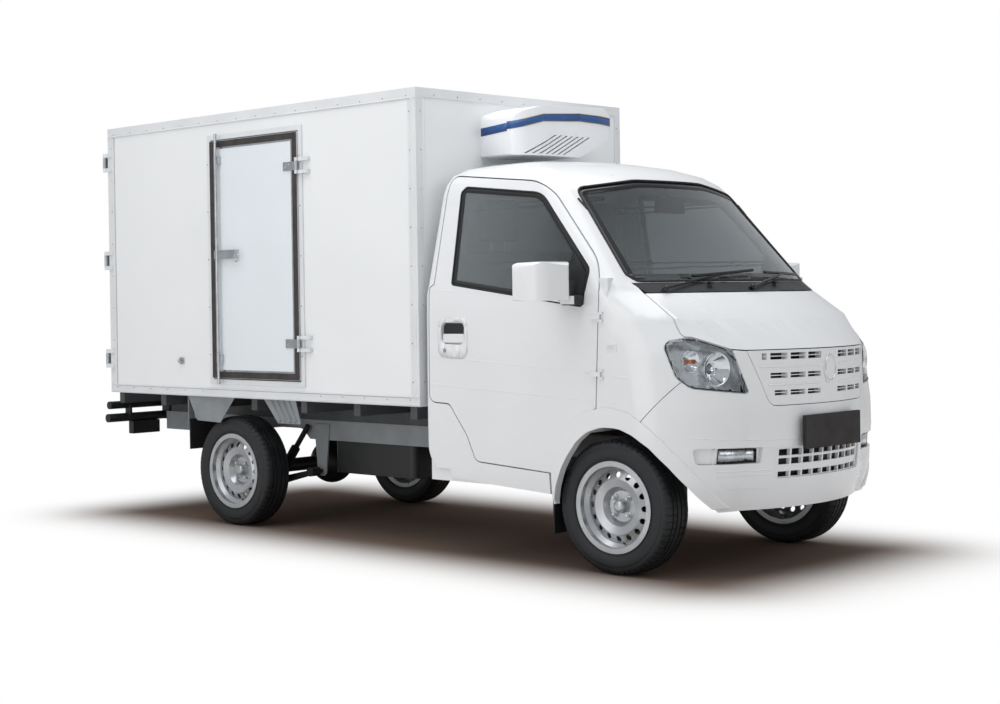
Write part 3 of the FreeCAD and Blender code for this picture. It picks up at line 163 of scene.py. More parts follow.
def makeMaterial(name, colour, rough, metal=0.0, bump=None, tint=None, sockets=None):
    # bump: (grain in mm, strength, depth in mm); tint: (second colour, patch size in mm, share)
    material = bpy.data.materials.new(name)
    tree = emptyTree(material)
    place = addNode(tree, "TexCoord")
    surface = addNode(tree, "BsdfPrincipled", {"Base Color": toLinear(colour), "Roughness": rough,
                                                        "Metallic": metal})
    for key, value in (sockets or {}).items():
        surface.inputs[key].default_value = value
    if tint:
        patches = addNode(tree, "TexNoise", {"Scale": 1000 / tint[1], "Detail": 4.0},
                          {"Vector": place.outputs["Object"]})
        ramp = addNode(tree, "MapRange", {1: 0.35, 2: 0.75, 3: 0.0, 4: tint[2]},
                       {0: patches.outputs[0]})
        mix = addNode(tree, "Mix", {"data_type": "RGBA", 6: toLinear(colour), 7: toLinear(tint[0])},
                      {0: ramp.outputs[0]})
        tree.links.new(mix.outputs[2], surface.inputs["Base Color"])
        wearAndShade = addNode(tree, "MapRange", {1: 0.3, 2: 0.7, 3: rough * 0.85, 4: min(rough * 1.2, 1)},
                       {0: patches.outputs[0]})
        tree.links.new(wearAndShade.outputs[0], surface.inputs["Roughness"])
    if bump:
        grain = addNode(tree, "TexNoise", {"Scale": 1000 / bump[0], "Detail": 3.0},
                        {"Vector": place.outputs["Object"]})
        relief = addNode(tree, "Bump", {"Strength": bump[1], "Distance": bump[2] / 1000},
                         {"Height": grain.outputs[0]})
        tree.links.new(relief.outputs[0], surface.inputs["Normal"])
    addNode(tree, "OutputMaterial", None, {"Surface": surface.outputs[0]})
    return material


def makeGlass(name, colour, rough, index, reflectionFilm=None):
    # clear body for the eye; light on its way to what lies behind passes straight through, tinted
    # painted reflection, a grey diffuse film over the glass that lightens it more at one end: (colour, share
    # at the first place, share at the second, axis, first, second)
    material = makeMaterial(name, colour, rough, sockets={"Transmission Weight": 1.0, "IOR": index})
    tree = material.node_tree
    ray = addNode(tree, "LightPath")
    solid = next(n for n in tree.nodes if n.type == "BSDF_PRINCIPLED")
    output = next(n for n in tree.nodes if n.type == "OUTPUT_MATERIAL")
    through = addNode(tree, "BsdfTransparent", {"Color": toLinear(colour)})
    front = solid.outputs[0]
    if reflectionFilm:
        place = addNode(tree, "TexCoord")
        parts = addNode(tree, "SeparateXYZ", None, {0: place.outputs["Object"]})
        share = addNode(tree, "MapRange", {1: reflectionFilm[4], 2: reflectionFilm[5], 3: reflectionFilm[1], 4: reflectionFilm[2]},
                        {0: parts.outputs[reflectionFilm[3]]})
        # painted reflection: a grey diffuse layer that lightens the glass, its share changing along one axis
        reflectionLayer = addNode(tree, "BsdfDiffuse", {"Color": toLinear(reflectionFilm[0])})
        front = addNode(tree, "MixShader", None, {0: share.outputs[0], 1: solid.outputs[0],
                                                            2: reflectionLayer.outputs[0]}).outputs[0]
    mix = addNode(tree, "MixShader", None,
                  {0: ray.outputs["Is Shadow Ray"], 1: front, 2: through.outputs[0]})
    tree.links.new(mix.outputs[0], output.inputs["Surface"])
    return material


# finish: colour, roughness, metal, bump, tint, other sockets
finishRows = {
    # baked enamel over steel: glossy, with a faint orange peel and road dust in patches
    "whiteEnamel": ("#E4E6E8", 0.30, 0, (9, 0.05, 0.2), ("#DCDDDD", 420, 0.5),
                    {"Coat Weight": 0.6, "Coat Roughness": 0.06}),
    # gel-coated fibreglass sheet of the cold box: flatter than the cab, with slow waves
    "boxGelcoat": ("#EBEDEE", 0.42, 0, (260, 0.25, 1.2), ("#E2E4E4", 600, 0.5),
                   {"Coat Weight": 0.15, "Coat Roughness": 0.2}),
    # powder-coated aluminium extrusion: white, silkier and a little greyer than the sheet
    "coatedExtrusion": ("#DFE1E3", 0.36, 0, (3, 0.05, 0.1), ("#CFD2D4", 180, 0.5)),
    # polished stainless steel of hinges and lock gear
    "polishedStainless": ("#C9CCCF", 0.16, 1.0, (2, 0.04, 0.05), ("#9EA2A6", 60, 0.6)),
    # bright chrome of reflectors and rings
    "brightChrome": ("#E3E5E8", 0.05, 1.0, None, ("#C4C8CC", 30, 0.3)),
    # silver wheel paint: fine flakes in a clear coat
    "silverWheelPaint": ("#B9BCBF", 0.30, 0.75, (1.5, 0.06, 0.05), ("#9A9DA1", 90, 0.5),
                         {"Coat Weight": 0.4}),
    # grey chassis primer with dust
    "greyChassisPaint": ("#8D9295", 0.50, 0, (5, 0.12, 0.2), ("#74797C", 120, 0.7)),
    # painted shade: the chassis grey darkened for the bearers, which lie in the shade
    "shadedChassisPaint": ("#4A4D50", 0.55, 0, (5, 0.12, 0.2), ("#3A3C3E", 120, 0.7)),
    # inside of the lamp tub: satin grey plastic
    "lampTub": ("#ECEEF0", 0.26, 0.6, (14, 0.1, 0.3), ("#C9CDD1", 50, 0.6)),
    # fog lamp reflector: pressed facets under a clear cover
    "pressedReflector": ("#C9CDD2", 0.12, 1.0, (9, 0.9, 1.6), ("#8F959B", 26, 0.7), {"Coat Weight": 0.8}),
    # side door sheet: a faint cool tint beside the box panels
    "doorGelcoat": ("#E2E8EC", 0.40, 0, (240, 0.2, 1.0), ("#DADFE3", 500, 0.5)),
    # black chassis paint on axle, springs and tubes
    "blackChassisPaint": ("#16181A", 0.42, 0, (4, 0.15, 0.25), ("#2A2B2B", 80, 0.6)),
    # cast iron block, sand-cast skin
    "castIron": ("#35363A", 0.62, 0.4, (3, 0.4, 0.5), ("#4A4743", 60, 0.6)),
    # aluminised steel of exhaust and tank
    "aluminisedSteel": ("#6E7173", 0.45, 0.7, (6, 0.12, 0.2), ("#4F4B47", 90, 0.7)),
    # grained black plastic: fine moulded texture
    "grainedPlastic": ("#17191B", 0.55, 0, (1.6, 0.35, 0.25), ("#222426", 150, 0.6)),
    # smooth gloss black plastic
    "glossPlastic": ("#0D0E10", 0.18, 0, (20, 0.03, 0.2), ("#15171A", 90, 0.5)),
    # extruded rubber seal
    "sealRubber": ("#141517", 0.62, 0, (4, 0.15, 0.2), ("#202123", 70, 0.7)),
    # brown-black door gasket of the cold box
    "gasketRubber": ("#3B3634", 0.60, 0, (5, 0.2, 0.3), ("#2B2726", 60, 0.8)),
    # vulcanised tyre rubber, greyed at the surface
    "tyreRubber": ("#131619", 0.56, 0, (2.2, 0.25, 0.25), ("#22262A", 110, 0.8)),
    # woven seat cloth
    "seatCloth": ("#8B9094", 0.88, 0, (2.5, 0.5, 0.5), ("#777C81", 12, 0.8), {"Sheen Weight": 0.3}),
    # lamp lenses of coloured polycarbonate
    "amberLens": ("#E8791E", 0.12, 0, (3, 0.2, 0.3), ("#C95F12", 20, 0.6)),
    "redLens": ("#A5161B", 0.14, 0, (3, 0.2, 0.3), ("#7E0E12", 20, 0.6)),
    # vacuum-formed ABS of the refrigeration unit
    "unitAbs": ("#ECEEF0", 0.34, 0, (2, 0.06, 0.1), ("#E2E4E7", 200, 0.5)),
    # foil stripes round the unit
    "stripeBlue": ("#23538F", 0.35, 0, None, ("#1C467C", 120, 0.5)),
    "stripeGold": ("#B9A26A", 0.35, 0, None, ("#A38D57", 60, 0.5)),
    # black enamelled plate
    "plateEnamel": ("#120C0A", 0.60, 0, (30, 0.05, 0.2), ("#261D1A", 80, 0.5)),
}
# glass: colour, roughness, index, painted reflection film
glassRows = {
    # tinted safety glass
    "tintedGlass": ("#B4BDBE", 0.02, 1.5, ("#9DA3A6", 0.04, 0.16, "Z", 1.60, 1.22)),
    "privacyGlass": ("#B9C0C1", 0.03, 1.5, ("#9DA3A6", 0.34, 0.06, "X", 0.60, 1.30)),
    # clear polycarbonate lens
    "clearLens": ("#F6F8F9", 0.02, 1.42),
}


# ---- making pieces ----

# the slot that a finish belongs to, unless a piece says otherwise
slotOf = {"whiteEnamel": "body_paint", "coatedExtrusion": "rail_alloy", "polishedStainless": "door_chrome",
          "brightChrome": "door_chrome", "silverWheelPaint": "wheel_steel",
          "blackChassisPaint": "frame_steel",
          "sealRubber": "black_trim", "gasketRubber": "black_trim", "grainedPlastic": "black_trim",
          "glossPlastic": "black_trim", "lampTub": "black_trim", "clearLens": "lamp_lens",
          "amberLens": "lamp_lens", "redLens": "lamp_lens", "pressedReflector": "lamp_lens",
          "stripeBlue": "box_panel", "stripeGold": "box_panel", "seatCloth": "seat_cloth"}


def linkPiece(mesh, name, body, finishName, slot="own"):
    piece = linkObject(name, mesh)
    mesh.materials.clear()
    mesh.materials.append(finish[finishName])
    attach(piece, body)
    slot = slotOf.get(finishName) if slot == "own" else slot
    return piece


def pieceFrom(shape, name, body, finishName, smooth=True, sharpAngle=35.0, slot="own"):
    # shape is a bmesh in its final place
    bmesh.ops.recalc_face_normals(shape, faces=shape.faces)
    limit = math.radians(sharpAngle)
    for face in shape.faces:
        face.smooth = smooth
    for edge in shape.edges:
        edge.smooth = not (len(edge.link_faces) == 2 and edge.calc_face_angle(0.0) > limit)
    mesh = bpy.data.meshes.new(name)
    shape.to_mesh(mesh)
    shape.free()
    return linkPiece(mesh, name, body, finishName, slot)


def joinedMesh(node):
    # the CAD node's triangles, joined again at their corners
    shape = bmesh.new()
    shape.from_mesh(nodes[node].data)
    bmesh.ops.remove_doubles(shape, verts=shape.verts, dist=0.00004)
    return shape


def addShell(piece, thick, side=-1.0):
    # thickness in millimetres for an open sheet
    shell = piece.modifiers.new("thickness", "SOLIDIFY")
    shell.thickness = thick / 1000
    shell.offset = side


def cadCopy(node, name, finishName, edgeMm=1.2, sharpAngle=28.0, slot=None):
    # the CAD node's own form with its edges broken by a small round
    shape = joinedMesh(node)
    bmesh.ops.dissolve_limit(shape, angle_limit=math.radians(0.6), verts=shape.verts, edges=shape.edges)
    piece = pieceFrom(shape, name, bodyOf[node], finishName, True, sharpAngle, slot)
    soften(piece, edgeMm)
    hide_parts(node)


def soften(piece, edgeMm, segments=2):
    bevel = piece.modifiers.new("softEdges", "BEVEL")
    bevel.width = edgeMm / 1000
    bevel.segments = segments
    bevel.limit_method = "ANGLE"
    bevel.angle_limit = math.radians(30)
    bevel.harden_normals = True
    bevel.use_clamp_overlap = True


# ---- small builders; places in millimetres from the front axle, as in the CAD source ----

def at(x, y, z):
    return Vector((x / 1000 + axles["frontX"], y / 1000, z / 1000))


def turnsOf(count):
    return [2 * math.pi * k / count for k in range(count)]


def addBar(shape, start, end, radius, sides=16, tip=None):
    # round bar between two places, its radius in millimetres
    span = end - start
    turn = span.to_track_quat("Z", "Y").to_matrix().to_4x4()
    bmesh.ops.create_cone(shape, cap_ends=True, segments=sides, radius1=radius / 1000,
                          radius2=(radius if tip is None else tip) / 1000, depth=span.length,
                          matrix=Matrix.Translation((start + end) / 2) @ turn)


def addBlock(shape, low, high):
    size = high - low
    place = Matrix.Translation((low + high) / 2) @ Matrix.Diagonal((*(abs(v) for v in size), 1))
    bmesh.ops.create_cube(shape, size=1.0, matrix=place)


def addBall(shape, place, radius):
    bmesh.ops.create_uvsphere(shape, u_segments=20, v_segments=12, radius=radius / 1000,
                              matrix=Matrix.Translation(place))


def addTurned(shape, profile, centre, side, steps=48):
    # profile of (radius, outward) in millimetres, spun about the wheel's Y axis
    verts = [shape.verts.new(centre + Vector((0, side * out / 1000, radius / 1000))) for radius,
             out in profile]
    edges = [shape.edges.new(pair) for pair in zip(verts, verts[1:])]
    bmesh.ops.spin(shape, geom=verts + edges, cent=centre, axis=(0, 1, 0), angle=2 * math.pi, steps=steps,
                   use_merge=True)


def roundedLoop(corners, steps=5):
    # corners of (u, v, radius): straight runs joined by arcs, as a list of (u, v)
    points = []
    for i, corner in enumerate(corners):
        u, v = corner[0], corner[1]
        radius = corner[2] if len(corner) > 2 else 0
        before, after = Vector(corners[i - 1][:2]), Vector(corners[(i + 1) % len(corners)][:2])
        place = Vector((u, v))
        a, b = before - place, after - place
        if not radius:
            points.append((u, v))
            continue
        half = a.angle(b) / 2
        reach = min(radius / math.tan(half), 0.49 * a.length, 0.49 * b.length)
        start, end = place + a.normalized() * reach, place + b.normalized() * reach
        for k in range(steps + 1):
            t = k / steps
            points.append(tuple(start.lerp(place, t).lerp(place.lerp(end, t), t)))
    return points


def densify(points, step, closed=True):
    # more places along straight runs, so that a projected line follows a curved face
    dense = []
    pairs = list(zip(points, points[1:] + points[:1] if closed else points[1:]))
    for a, b in pairs:
        a, b = Vector(a), Vector(b)
        count = max(1, int((b - a).length / step))
        dense += [tuple(a.lerp(b, k / count)) for k in range(count)]
    return dense if closed else dense + [tuple(points[-1])]


def faceTree(*names):
    shape = bmesh.new()
    for name in names:
        shape.from_mesh(nodes[name].data)
    tree = BVHTree.FromBMesh(shape)
    shape.free()
    return tree


def onFace(tree, points, view, lift=0.0):
    # points of (u, v) thrown onto the outside: view "right"/"left" reads (x, z), "front"/"rear" reads (y, z)
    placed = []
    for u, v in points:
        if view in ("right", "left"):
            way = Vector((0, 1 if view == "right" else -1, 0))
            start = at(u, 0, v) - way * 3
        else:
            way = Vector((-1 if view == "front" else 1, 0, 0))
            start = Vector((0, u / 1000, v / 1000)) - way * 6
        hit, normal, _, _ = tree.ray_cast(start, way)
        if hit is None:
            continue
        if normal.dot(way) > 0:
            normal = -normal
        placed.append(hit + normal * lift / 1000)
    return placed


def addTube(paths, name, body, finishName, radius, closed=True):
    # round cord along each path, its radius in millimetres
    curve = bpy.data.curves.new(name, "CURVE")
    curve.dimensions = "3D"
    curve.bevel_depth = radius / 1000
    curve.bevel_resolution = 2
    curve.use_fill_caps = True
    for path in paths:
        spline = curve.splines.new("POLY")
        spline.points.add(len(path) - 1)
        for point, place in zip(spline.points, path):
            point.co = (*place, 1)
        spline.use_cyclic_u = closed
    holder = linkObject(name + "_path", curve)
    mesh = bpy.data.meshes.new_from_object(holder.evaluated_get(bpy.context.evaluated_depsgraph_get()))
    bpy.data.objects.remove(holder)
    bpy.data.curves.remove(curve)
    mesh.name = name
    for face in mesh.polygons:
        face.use_smooth = True
    linkPiece(mesh, name, body, finishName)


def patchOf(node, cuts, keepWay, name, finishName, lift=0.6, thick=0.8):
    # the part of a CAD face inside the cutting planes, lifted off it and given a thickness
    shape = joinedMesh(node)
    for place, out in cuts:
        bmesh.ops.bisect_plane(shape, geom=shape.verts[:] + shape.edges[:] + shape.faces[:], plane_co=place,
                               plane_no=out, clear_outer=True)
    shape.normal_update()
    hidden = [f for f in shape.faces if f.normal.dot(keepWay) < 0.25]
    bmesh.ops.delete(shape, geom=hidden, context="FACES")
    shape.normal_update()
    for vert in shape.verts:
        vert.co += vert.normal * lift / 1000
    for face in shape.faces:
        face.smooth = True
    mesh = bpy.data.meshes.new(name)
    shape.to_mesh(mesh)
    shape.free()
    addShell(linkPiece(mesh, name, bodyOf[node], finishName), thick, 1.0)


def makePad(low, high, name, body, finishName, edgeMm=0, segments=3):
    # one block, its edges rounded where edgeMm is given
    shape = bmesh.new()
    addBlock(shape, low, high)
    piece = pieceFrom(shape, name, body, finishName, edgeMm > 0)
    if edgeMm:
        soften(piece, edgeMm, segments)


def frameStrips(u0, u1, v0, v1, width):
    # four strips that run round inside a rectangle
    return ((u0, u1, v0, v0 + width), (u0, u1, v1 - width, v1), (u0, u0 + width, v0 + width, v1 - width),
            (u1 - width, u1, v0 + width, v1 - width))


def cutsOf(outline, view):
    # cutting planes through a convex outline of (x, z) or (y, z) corners in millimetres
    area = sum(a[0] * b[1] - b[0] * a[1] for a, b in zip(outline, outline[1:] + outline[:1]))
    sign = 1 if area > 0 else -1
    cuts = []
    for a, b in zip(outline, outline[1:] + outline[:1]):
        out = ((b[1] - a[1]) * sign, (a[0] - b[0]) * sign)
        if view in ("right", "left"):
            cuts.append((at(a[0], 0, a[1]), Vector((out[0], 0, out[1])).normalized()))
        else:
            cuts.append((Vector((0, a[0] / 1000, a[1] / 1000)), Vector((0, out[0], out[1])).normalized()))
    return cuts


# ---- wheels ----

def makeTyre(name, centre, body):
    tyre = {"pitches": 62, "sipe": 3.6, "sipeDepth": 4.5}
    half = [(69.7, 179.5), (69.7, 197.5), (71.8, 203.5), (75.4, 205.5), (76.4, 207.5), (80.0, 217.0),
            (82.0, 231.0), (82.2, 244.0), (81.2, 253.0), (80.0, 254.6), (79.4, 262.0), (77.6, 269.0),
            (73.5, 276.2), (67.0, 281.8), (58.0, 285.6), (46.0, 286.9), (45.2, 280.0), (38.8, 280.0),
            (38.0, 287.0), (18.5, 287.0), (17.7, 280.0), (10.8, 280.0), (10.0, 287.0)]
    profile = half + [(-w, r) for w, r in reversed(half)]
    shape = bmesh.new()
    start = [shape.verts.new(centre + Vector((0, w / 1000, r / 1000))) for w, r in profile]
    line = [shape.edges.new(pair) for pair in zip(start, start[1:])]
    turn = 2 * math.pi / tyre["pitches"]
    sipeTurn = tyre["sipe"] / 287
    first = bmesh.ops.spin(shape, geom=start + line, cent=centre, axis=(0, 1, 0), angle=turn - sipeTurn,
                           steps=2)
    before = set(shape.faces)
    bmesh.ops.spin(shape, geom=first["geom_last"], cent=centre, axis=(0, 1, 0), angle=sipeTurn, steps=1)
    shape.normal_update()
    sipes = []
    for face in set(shape.faces) - before:
        middle = face.calc_center_median() - centre
        across, radius = abs(middle.y) * 1000, math.hypot(middle.x, middle.z) * 1000
        if radius > 270 and (across > 46 or 19 < across < 37.5):
            sipes.append(face)
    pushed = bmesh.ops.extrude_face_region(shape, geom=sipes)
    moved = [v for v in pushed["geom"] if isinstance(v, bmesh.types.BMVert)]
    for vert in moved:
        out = Vector((vert.co.x - centre.x, 0, vert.co.z - centre.z)).normalized()
        vert.co -= out * tyre["sipeDepth"] / 1000
    bmesh.ops.delete(shape, geom=sipes, context="FACES")
    wedge = shape.verts[:] + shape.edges[:] + shape.faces[:]
    for i in range(1, tyre["pitches"]):
        copy = bmesh.ops.duplicate(shape, geom=wedge)
        verts = [v for v in copy["geom"] if isinstance(v, bmesh.types.BMVert)]
        bmesh.ops.rotate(shape, verts=verts, cent=centre, matrix=Matrix.Rotation(turn * i, 3, "Y"))
    bmesh.ops.remove_doubles(shape, verts=shape.verts, dist=0.00003)
    piece = pieceFrom(shape, "treaded_" + name, body, "tyreRubber", True, 32)
    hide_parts(name)


def makeWheelTrim(name, centre, side, body):
    # four nuts, the hub cap and the valve
    trim = {"nutCircle": 50.0, "nutRadius": 10.5, "face": 8.0, "valveRadius": 166.0}
    shape = bmesh.new()
    for k in range(4):
        angle = math.radians(45 + 90 * k)
        x, z = trim["nutCircle"] * math.cos(angle) / 1000, trim["nutCircle"] * math.sin(angle) / 1000
        foot = centre + Vector((x, side * (trim["face"] + 0.3) / 1000, z))
        addBar(shape, foot, foot + Vector((0, side * 0.004, 0)), 14.0, 24, 12.5)
        addBar(shape, foot + Vector((0, side * 0.003, 0)), foot + Vector((0, side * 0.017, 0)),
               trim["nutRadius"], 6)
        addBar(shape, foot + Vector((0, side * 0.017, 0)), foot + Vector((0, side * 0.021, 0)), 8.0, 20, 6.5)
    nuts = pieceFrom(shape, "nuts_" + name, body, "polishedStainless")
    soften(nuts, 0.8)
    shape = bmesh.new()
    addTurned(shape, [(0.01, 42.0), (14.0, 41.5), (22.0, 39.0), (27.0, 34.0), (28.5, 26.0), (28.5, 12.0),
                      (31.0, 8.6), (27.4, 8.4)], centre, side, 40)
    pieceFrom(shape, "hub_cap_" + name, body, "silverWheelPaint")
    shape = bmesh.new()
    angle = math.radians(-78)
    foot = centre + Vector((trim["valveRadius"] * math.cos(angle) / 1000, side * 0.012,
                            trim["valveRadius"] * math.sin(angle) / 1000))
    inward = (centre - foot).normalized() * 0.016
    inward.y = 0
    addBar(shape, foot, foot + Vector((0, side * 0.016, 0)) + inward * 0.4, 5.0, 14, 4.2)
    addBar(shape, foot + Vector((0, side * 0.016, 0)) + inward * 0.4,
           foot + Vector((0, side * 0.034, 0)) + inward * 0.8, 4.0, 14, 3.4)
    pieceFrom(shape, "valve_" + name, body, "sealRubber")


def makeWheels():
    for end, x in (("front", axles["frontX"]), ("rear", axles["rearX"])):
        for sideName, side in (("left", 1), ("right", -1)):
            name = end + "_" + sideName
            centre = Vector((x, side * axles["y"], axles["z"]))
            body = "wheel_" + name
            makeTyre("tyre_" + name, centre, body)
            cadCopy("rim_" + name, "pressed_rim_" + name, "silverWheelPaint", 1.2, 30)
            makeWheelTrim(name, centre, side, body)


# ---- nose: lamps, grilles, bumper ----

def makeHeadlamps():
    h = math.sqrt(0.5)
    tree = faceTree("headlamps")
    bezelLoop = roundedLoop([(-318, 985, 32), (-204, 1003, 60), (-28, 946, 18), (42, 768, 10),
                             (-210, 797, 60),
                             (-268, 842, 50)], 5)
    for sideName, side in sides:
        way = Vector((h, side * h, 0))

        def cornerHit(t, z):
            # place and normal on the lamp, t across its face and z up, in millimetres
            return tree.ray_cast(at(h * (t + 330), side * h * (330 - t), z) + way * 0.7, -way)[:2]

        out = [cornerHit(t, z) for t, z in densify(bezelLoop, 14)]
        out = [(hit, normal) for hit, normal in out if hit is not None]
        # black surround just inside the edge
        middle = sum((hit for hit, _ in out), Vector()) / len(out)
        inner = [hit.lerp(middle, 0.035) + normal * 0.0002 for hit, normal in out]
        addTube([inner], "lamp_surround_" + sideName, "chassis", "glossPlastic", 3.4)
        # reflector bowls and their bulbs behind the lens
        for partName, t, z, deep, radius, bulbFinish in (("reflector", -88, 872, 46, 66, "clearLens"),
                                                         ("bowl", -196, 905, 40, 44, "amberLens")):
            face = Vector((1, side * 0.25, 0)).normalized()
            seat = cornerHit(t, z)[0] - face * 0.014
            turn = face.to_track_quat("Z", "Y").to_matrix().to_4x4()
            bowl = bmesh.new()
            steps = 7
            for k in range(steps):
                r0 = radius * math.sqrt((k + 0.3) / steps)
                r1 = radius * math.sqrt((k + 1.3) / steps)
                d0, d1 = deep * (k + 0.3) / steps, deep * (k + 1.3) / steps
                place = Matrix.Translation(seat + face * ((d0 + d1) / 2 - deep) / 1000) @ turn
                bmesh.ops.create_cone(bowl, cap_ends=False, segments=40, radius1=r0 / 1000,
                                      radius2=r1 / 1000, depth=(d1 - d0) / 1000, matrix=place)
            bmesh.ops.remove_doubles(bowl, verts=bowl.verts, dist=0.0002)
            addShell(pieceFrom(bowl, partName + "_" + sideName, "chassis", "brightChrome"), 1.5)
            bulb = bmesh.new()
            addBar(bulb, seat - face * 0.030, seat - face * 0.006, 9.0, 20, 7.0)
            addBall(bulb, seat - face * 0.006, 7.2)
            pieceFrom(bulb, partName + "_bulb_" + sideName, "chassis", bulbFinish)


def makeLampShells():
    # the lens keeps the CAD form's outside as a thin clear shell; a bright tub lines the space behind
    for partName, outside, finishName, wall, side in (("lamp_lenses", True, "clearLens", 3.0, -1.0),
                                                      ("lamp_tubs", False, "lampTub", 2.0, 1.0)):
        shape = joinedMesh("headlamps")
        shape.normal_update()
        drop = [f for f in shape.faces if isLens(f) != outside]
        bmesh.ops.delete(shape, geom=drop, context="FACES")
        piece = pieceFrom(shape, partName, "chassis", finishName, True, 40)
        addShell(piece, wall, side)
        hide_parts("headlamps")


def isLens(face):
    # faces of the CAD lamp on the cab's outside, looking out and up along the corner
    middle, normal = face.calc_center_median(), face.normal
    outward = Vector((1, 0.8 if middle.y > 0 else -0.8, 0.25)).normalized()
    return normal.dot(outward) > 0.55


def makeGrilles():
    grille = {"rows": ((905, 932), (828, 850), (757, 778)), "inner": 64, "reach": 398, "slope": 0.38}
    panelTree = faceTree("front_grille")
    bars = []
    for low, high in grille["rows"]:
        middle = (low + high) / 2
        reach = grille["reach"] - (932 - low) * grille["slope"]
        for side in (-1, 1):
            edge = [(side * y, low - 5) for y in range(grille["inner"], int(reach), 12)]
            path = onFace(panelTree, edge, "front", 0)
            if len(path) > 3:
                bars.append([p + Vector((-0.010, 0, (middle - low + 5) / 1000)) for p in path])
    addTube(bars, "grille_slot_bars", "chassis", "whiteEnamel", 2.4, False)
    ridges = [onFace(panelTree, [(side * y, z) for y in range(74, reach, 12)], "front", -2.0)
              for z, reach in ((801, 372), (877, 400)) for side in (-1, 1)]
    addTube(ridges, "grille_ridges", "chassis", "whiteEnamel", 5.0, False)
    # bare oval boss with its bright ring
    boss = {"z": 862, "halfWidth": 38.77, "halfHeight": 54.18}
    loop = [(boss["halfWidth"] * math.cos(a),
             boss["z"] + boss["halfHeight"] * math.sin(a)) for a in turnsOf(48)]
    addTube([onFace(panelTree, loop, "front", 0.2)], "boss_ring", "chassis", "brightChrome", 3.2)
    # dark curved screens behind both grilles
    for name, low, high, nose, half, bend in (("upper", 738, 940, 566, 410, 1902),
                                              ("lower", 405, 545, 560, 330, 2086)):
        screen = bmesh.new()
        bmesh.ops.create_grid(screen, x_segments=24, y_segments=2, size=1.0)
        for vert in screen.verts:
            y = vert.co.x * half
            vert.co = at(nose - y * y / bend, y, (low + high) / 2 + vert.co.y * (high - low) / 2)
        piece = pieceFrom(screen, "grille_screen_" + name, "chassis", "grainedPlastic")
        addShell(piece, 3.0)


def makeFogLamps():
    # white housings, each with a pressed reflector strip in a dark edge
    cadCopy("fog_lamps", "fog_lamps_shell", "whiteEnamel", 1.0)
    tree = faceTree("fog_lamps")
    for sideName, side in sides:
        lens = [(-585, 487), (-400, 485), (-402, 540), (-582, 546)]
        if side > 0:
            lens = [(-y, z) for y, z in reversed(lens)]
        way = Vector((1, side * 0.35, 0)).normalized()
        patchOf("fog_lamps", cutsOf(lens, "front"), way, "fog_lens_" + sideName, "pressedReflector")
        edge = onFace(tree, densify(lens, 12), "front", 1.0)
        if len(edge) > 8:
            addTube([edge], "fog_edge_" + sideName, "chassis", "sealRubber", 2.2)


def makeBumperLines():
    # pressed lines of the bumper, half sunk tubes on its face
    tree = faceTree("front_bumper", "fog_lamps", "lower_grille")
    lines = []
    for side in (-1, 1):
        for run in ([(687, 596), (558, 584), (373, 576), (210, 574)], [(594, 455), (487, 452), (345, 450)],
                    [(592, 437), (487, 434), (345, 432)],
                    [(330, 546), (475, 551), (597, 554), (605, 533), (608, 485), (595, 427), (574, 397),
                     (524, 381),
                     (345, 375)]):
            path = onFace(tree, densify([(side * y, z) for y, z in run], 20, False), "front", -3.2)
            if len(path) > 3:
                lines.append(path)
    addTube(lines, "bumper_lines", "chassis", "whiteEnamel", 4.4, False)


def makeNose():
    makeFogLamps()
    makeBumperLines()
    cadCopy("front_grille", "front_grille_shell", "whiteEnamel", 2.0)
    cadCopy("lower_grille", "lower_grille_shell", "whiteEnamel", 1.0)
    makeLampShells()
    makeHeadlamps()
    makeGrilles()


# ---- cab details ----

def faceRing(tree, outer, inner, view, lift, name, body, finishName, thick=1.2, share=6):
    # flat ring between two outlines with the same corners, laid on a curved face
    shape = bmesh.new()
    loops = []
    for corners in (outer, inner):
        points = roundedLoop(corners, 5)
        dense = []
        for a, b in zip(points, points[1:] + points[:1]):
            dense += [tuple(Vector(a).lerp(Vector(b), k / share)) for k in range(share)]
        placed = onFace(tree, dense, view, lift)
        verts = [shape.verts.new(p) for p in placed]
        loops.append([shape.edges.new(pair) for pair in zip(verts, verts[1:] + verts[:1])])
    bmesh.ops.bridge_loops(shape, edges=loops[0] + loops[1])
    addShell(pieceFrom(shape, name, body, finishName, True, 50), thick, 0.0)


def grownLoop(corners, gap):
    # outline moved outwards by gap in millimetres, a negative gap moves it in
    area = sum(a[0] * b[1] - b[0] * a[1] for a, b in zip(corners, corners[1:] + corners[:1]))
    turn = 1 if area > 0 else -1
    moved = []
    for i, p in enumerate(corners):
        a = Vector(p[:2]) - Vector(corners[i - 1][:2])
        b = Vector(corners[(i + 1) % len(corners)][:2]) - Vector(p[:2])
        na, nb = Vector((a.y, -a.x)).normalized() * turn, Vector((b.y, -b.x)).normalized() * turn
        place = Vector(p[:2]) + (na + nb) * gap / (1 + na.dot(nb))
        moved.append((place.x, place.y, max((p[2] if len(p) > 2 else 0) + gap, 4)))
    return moved


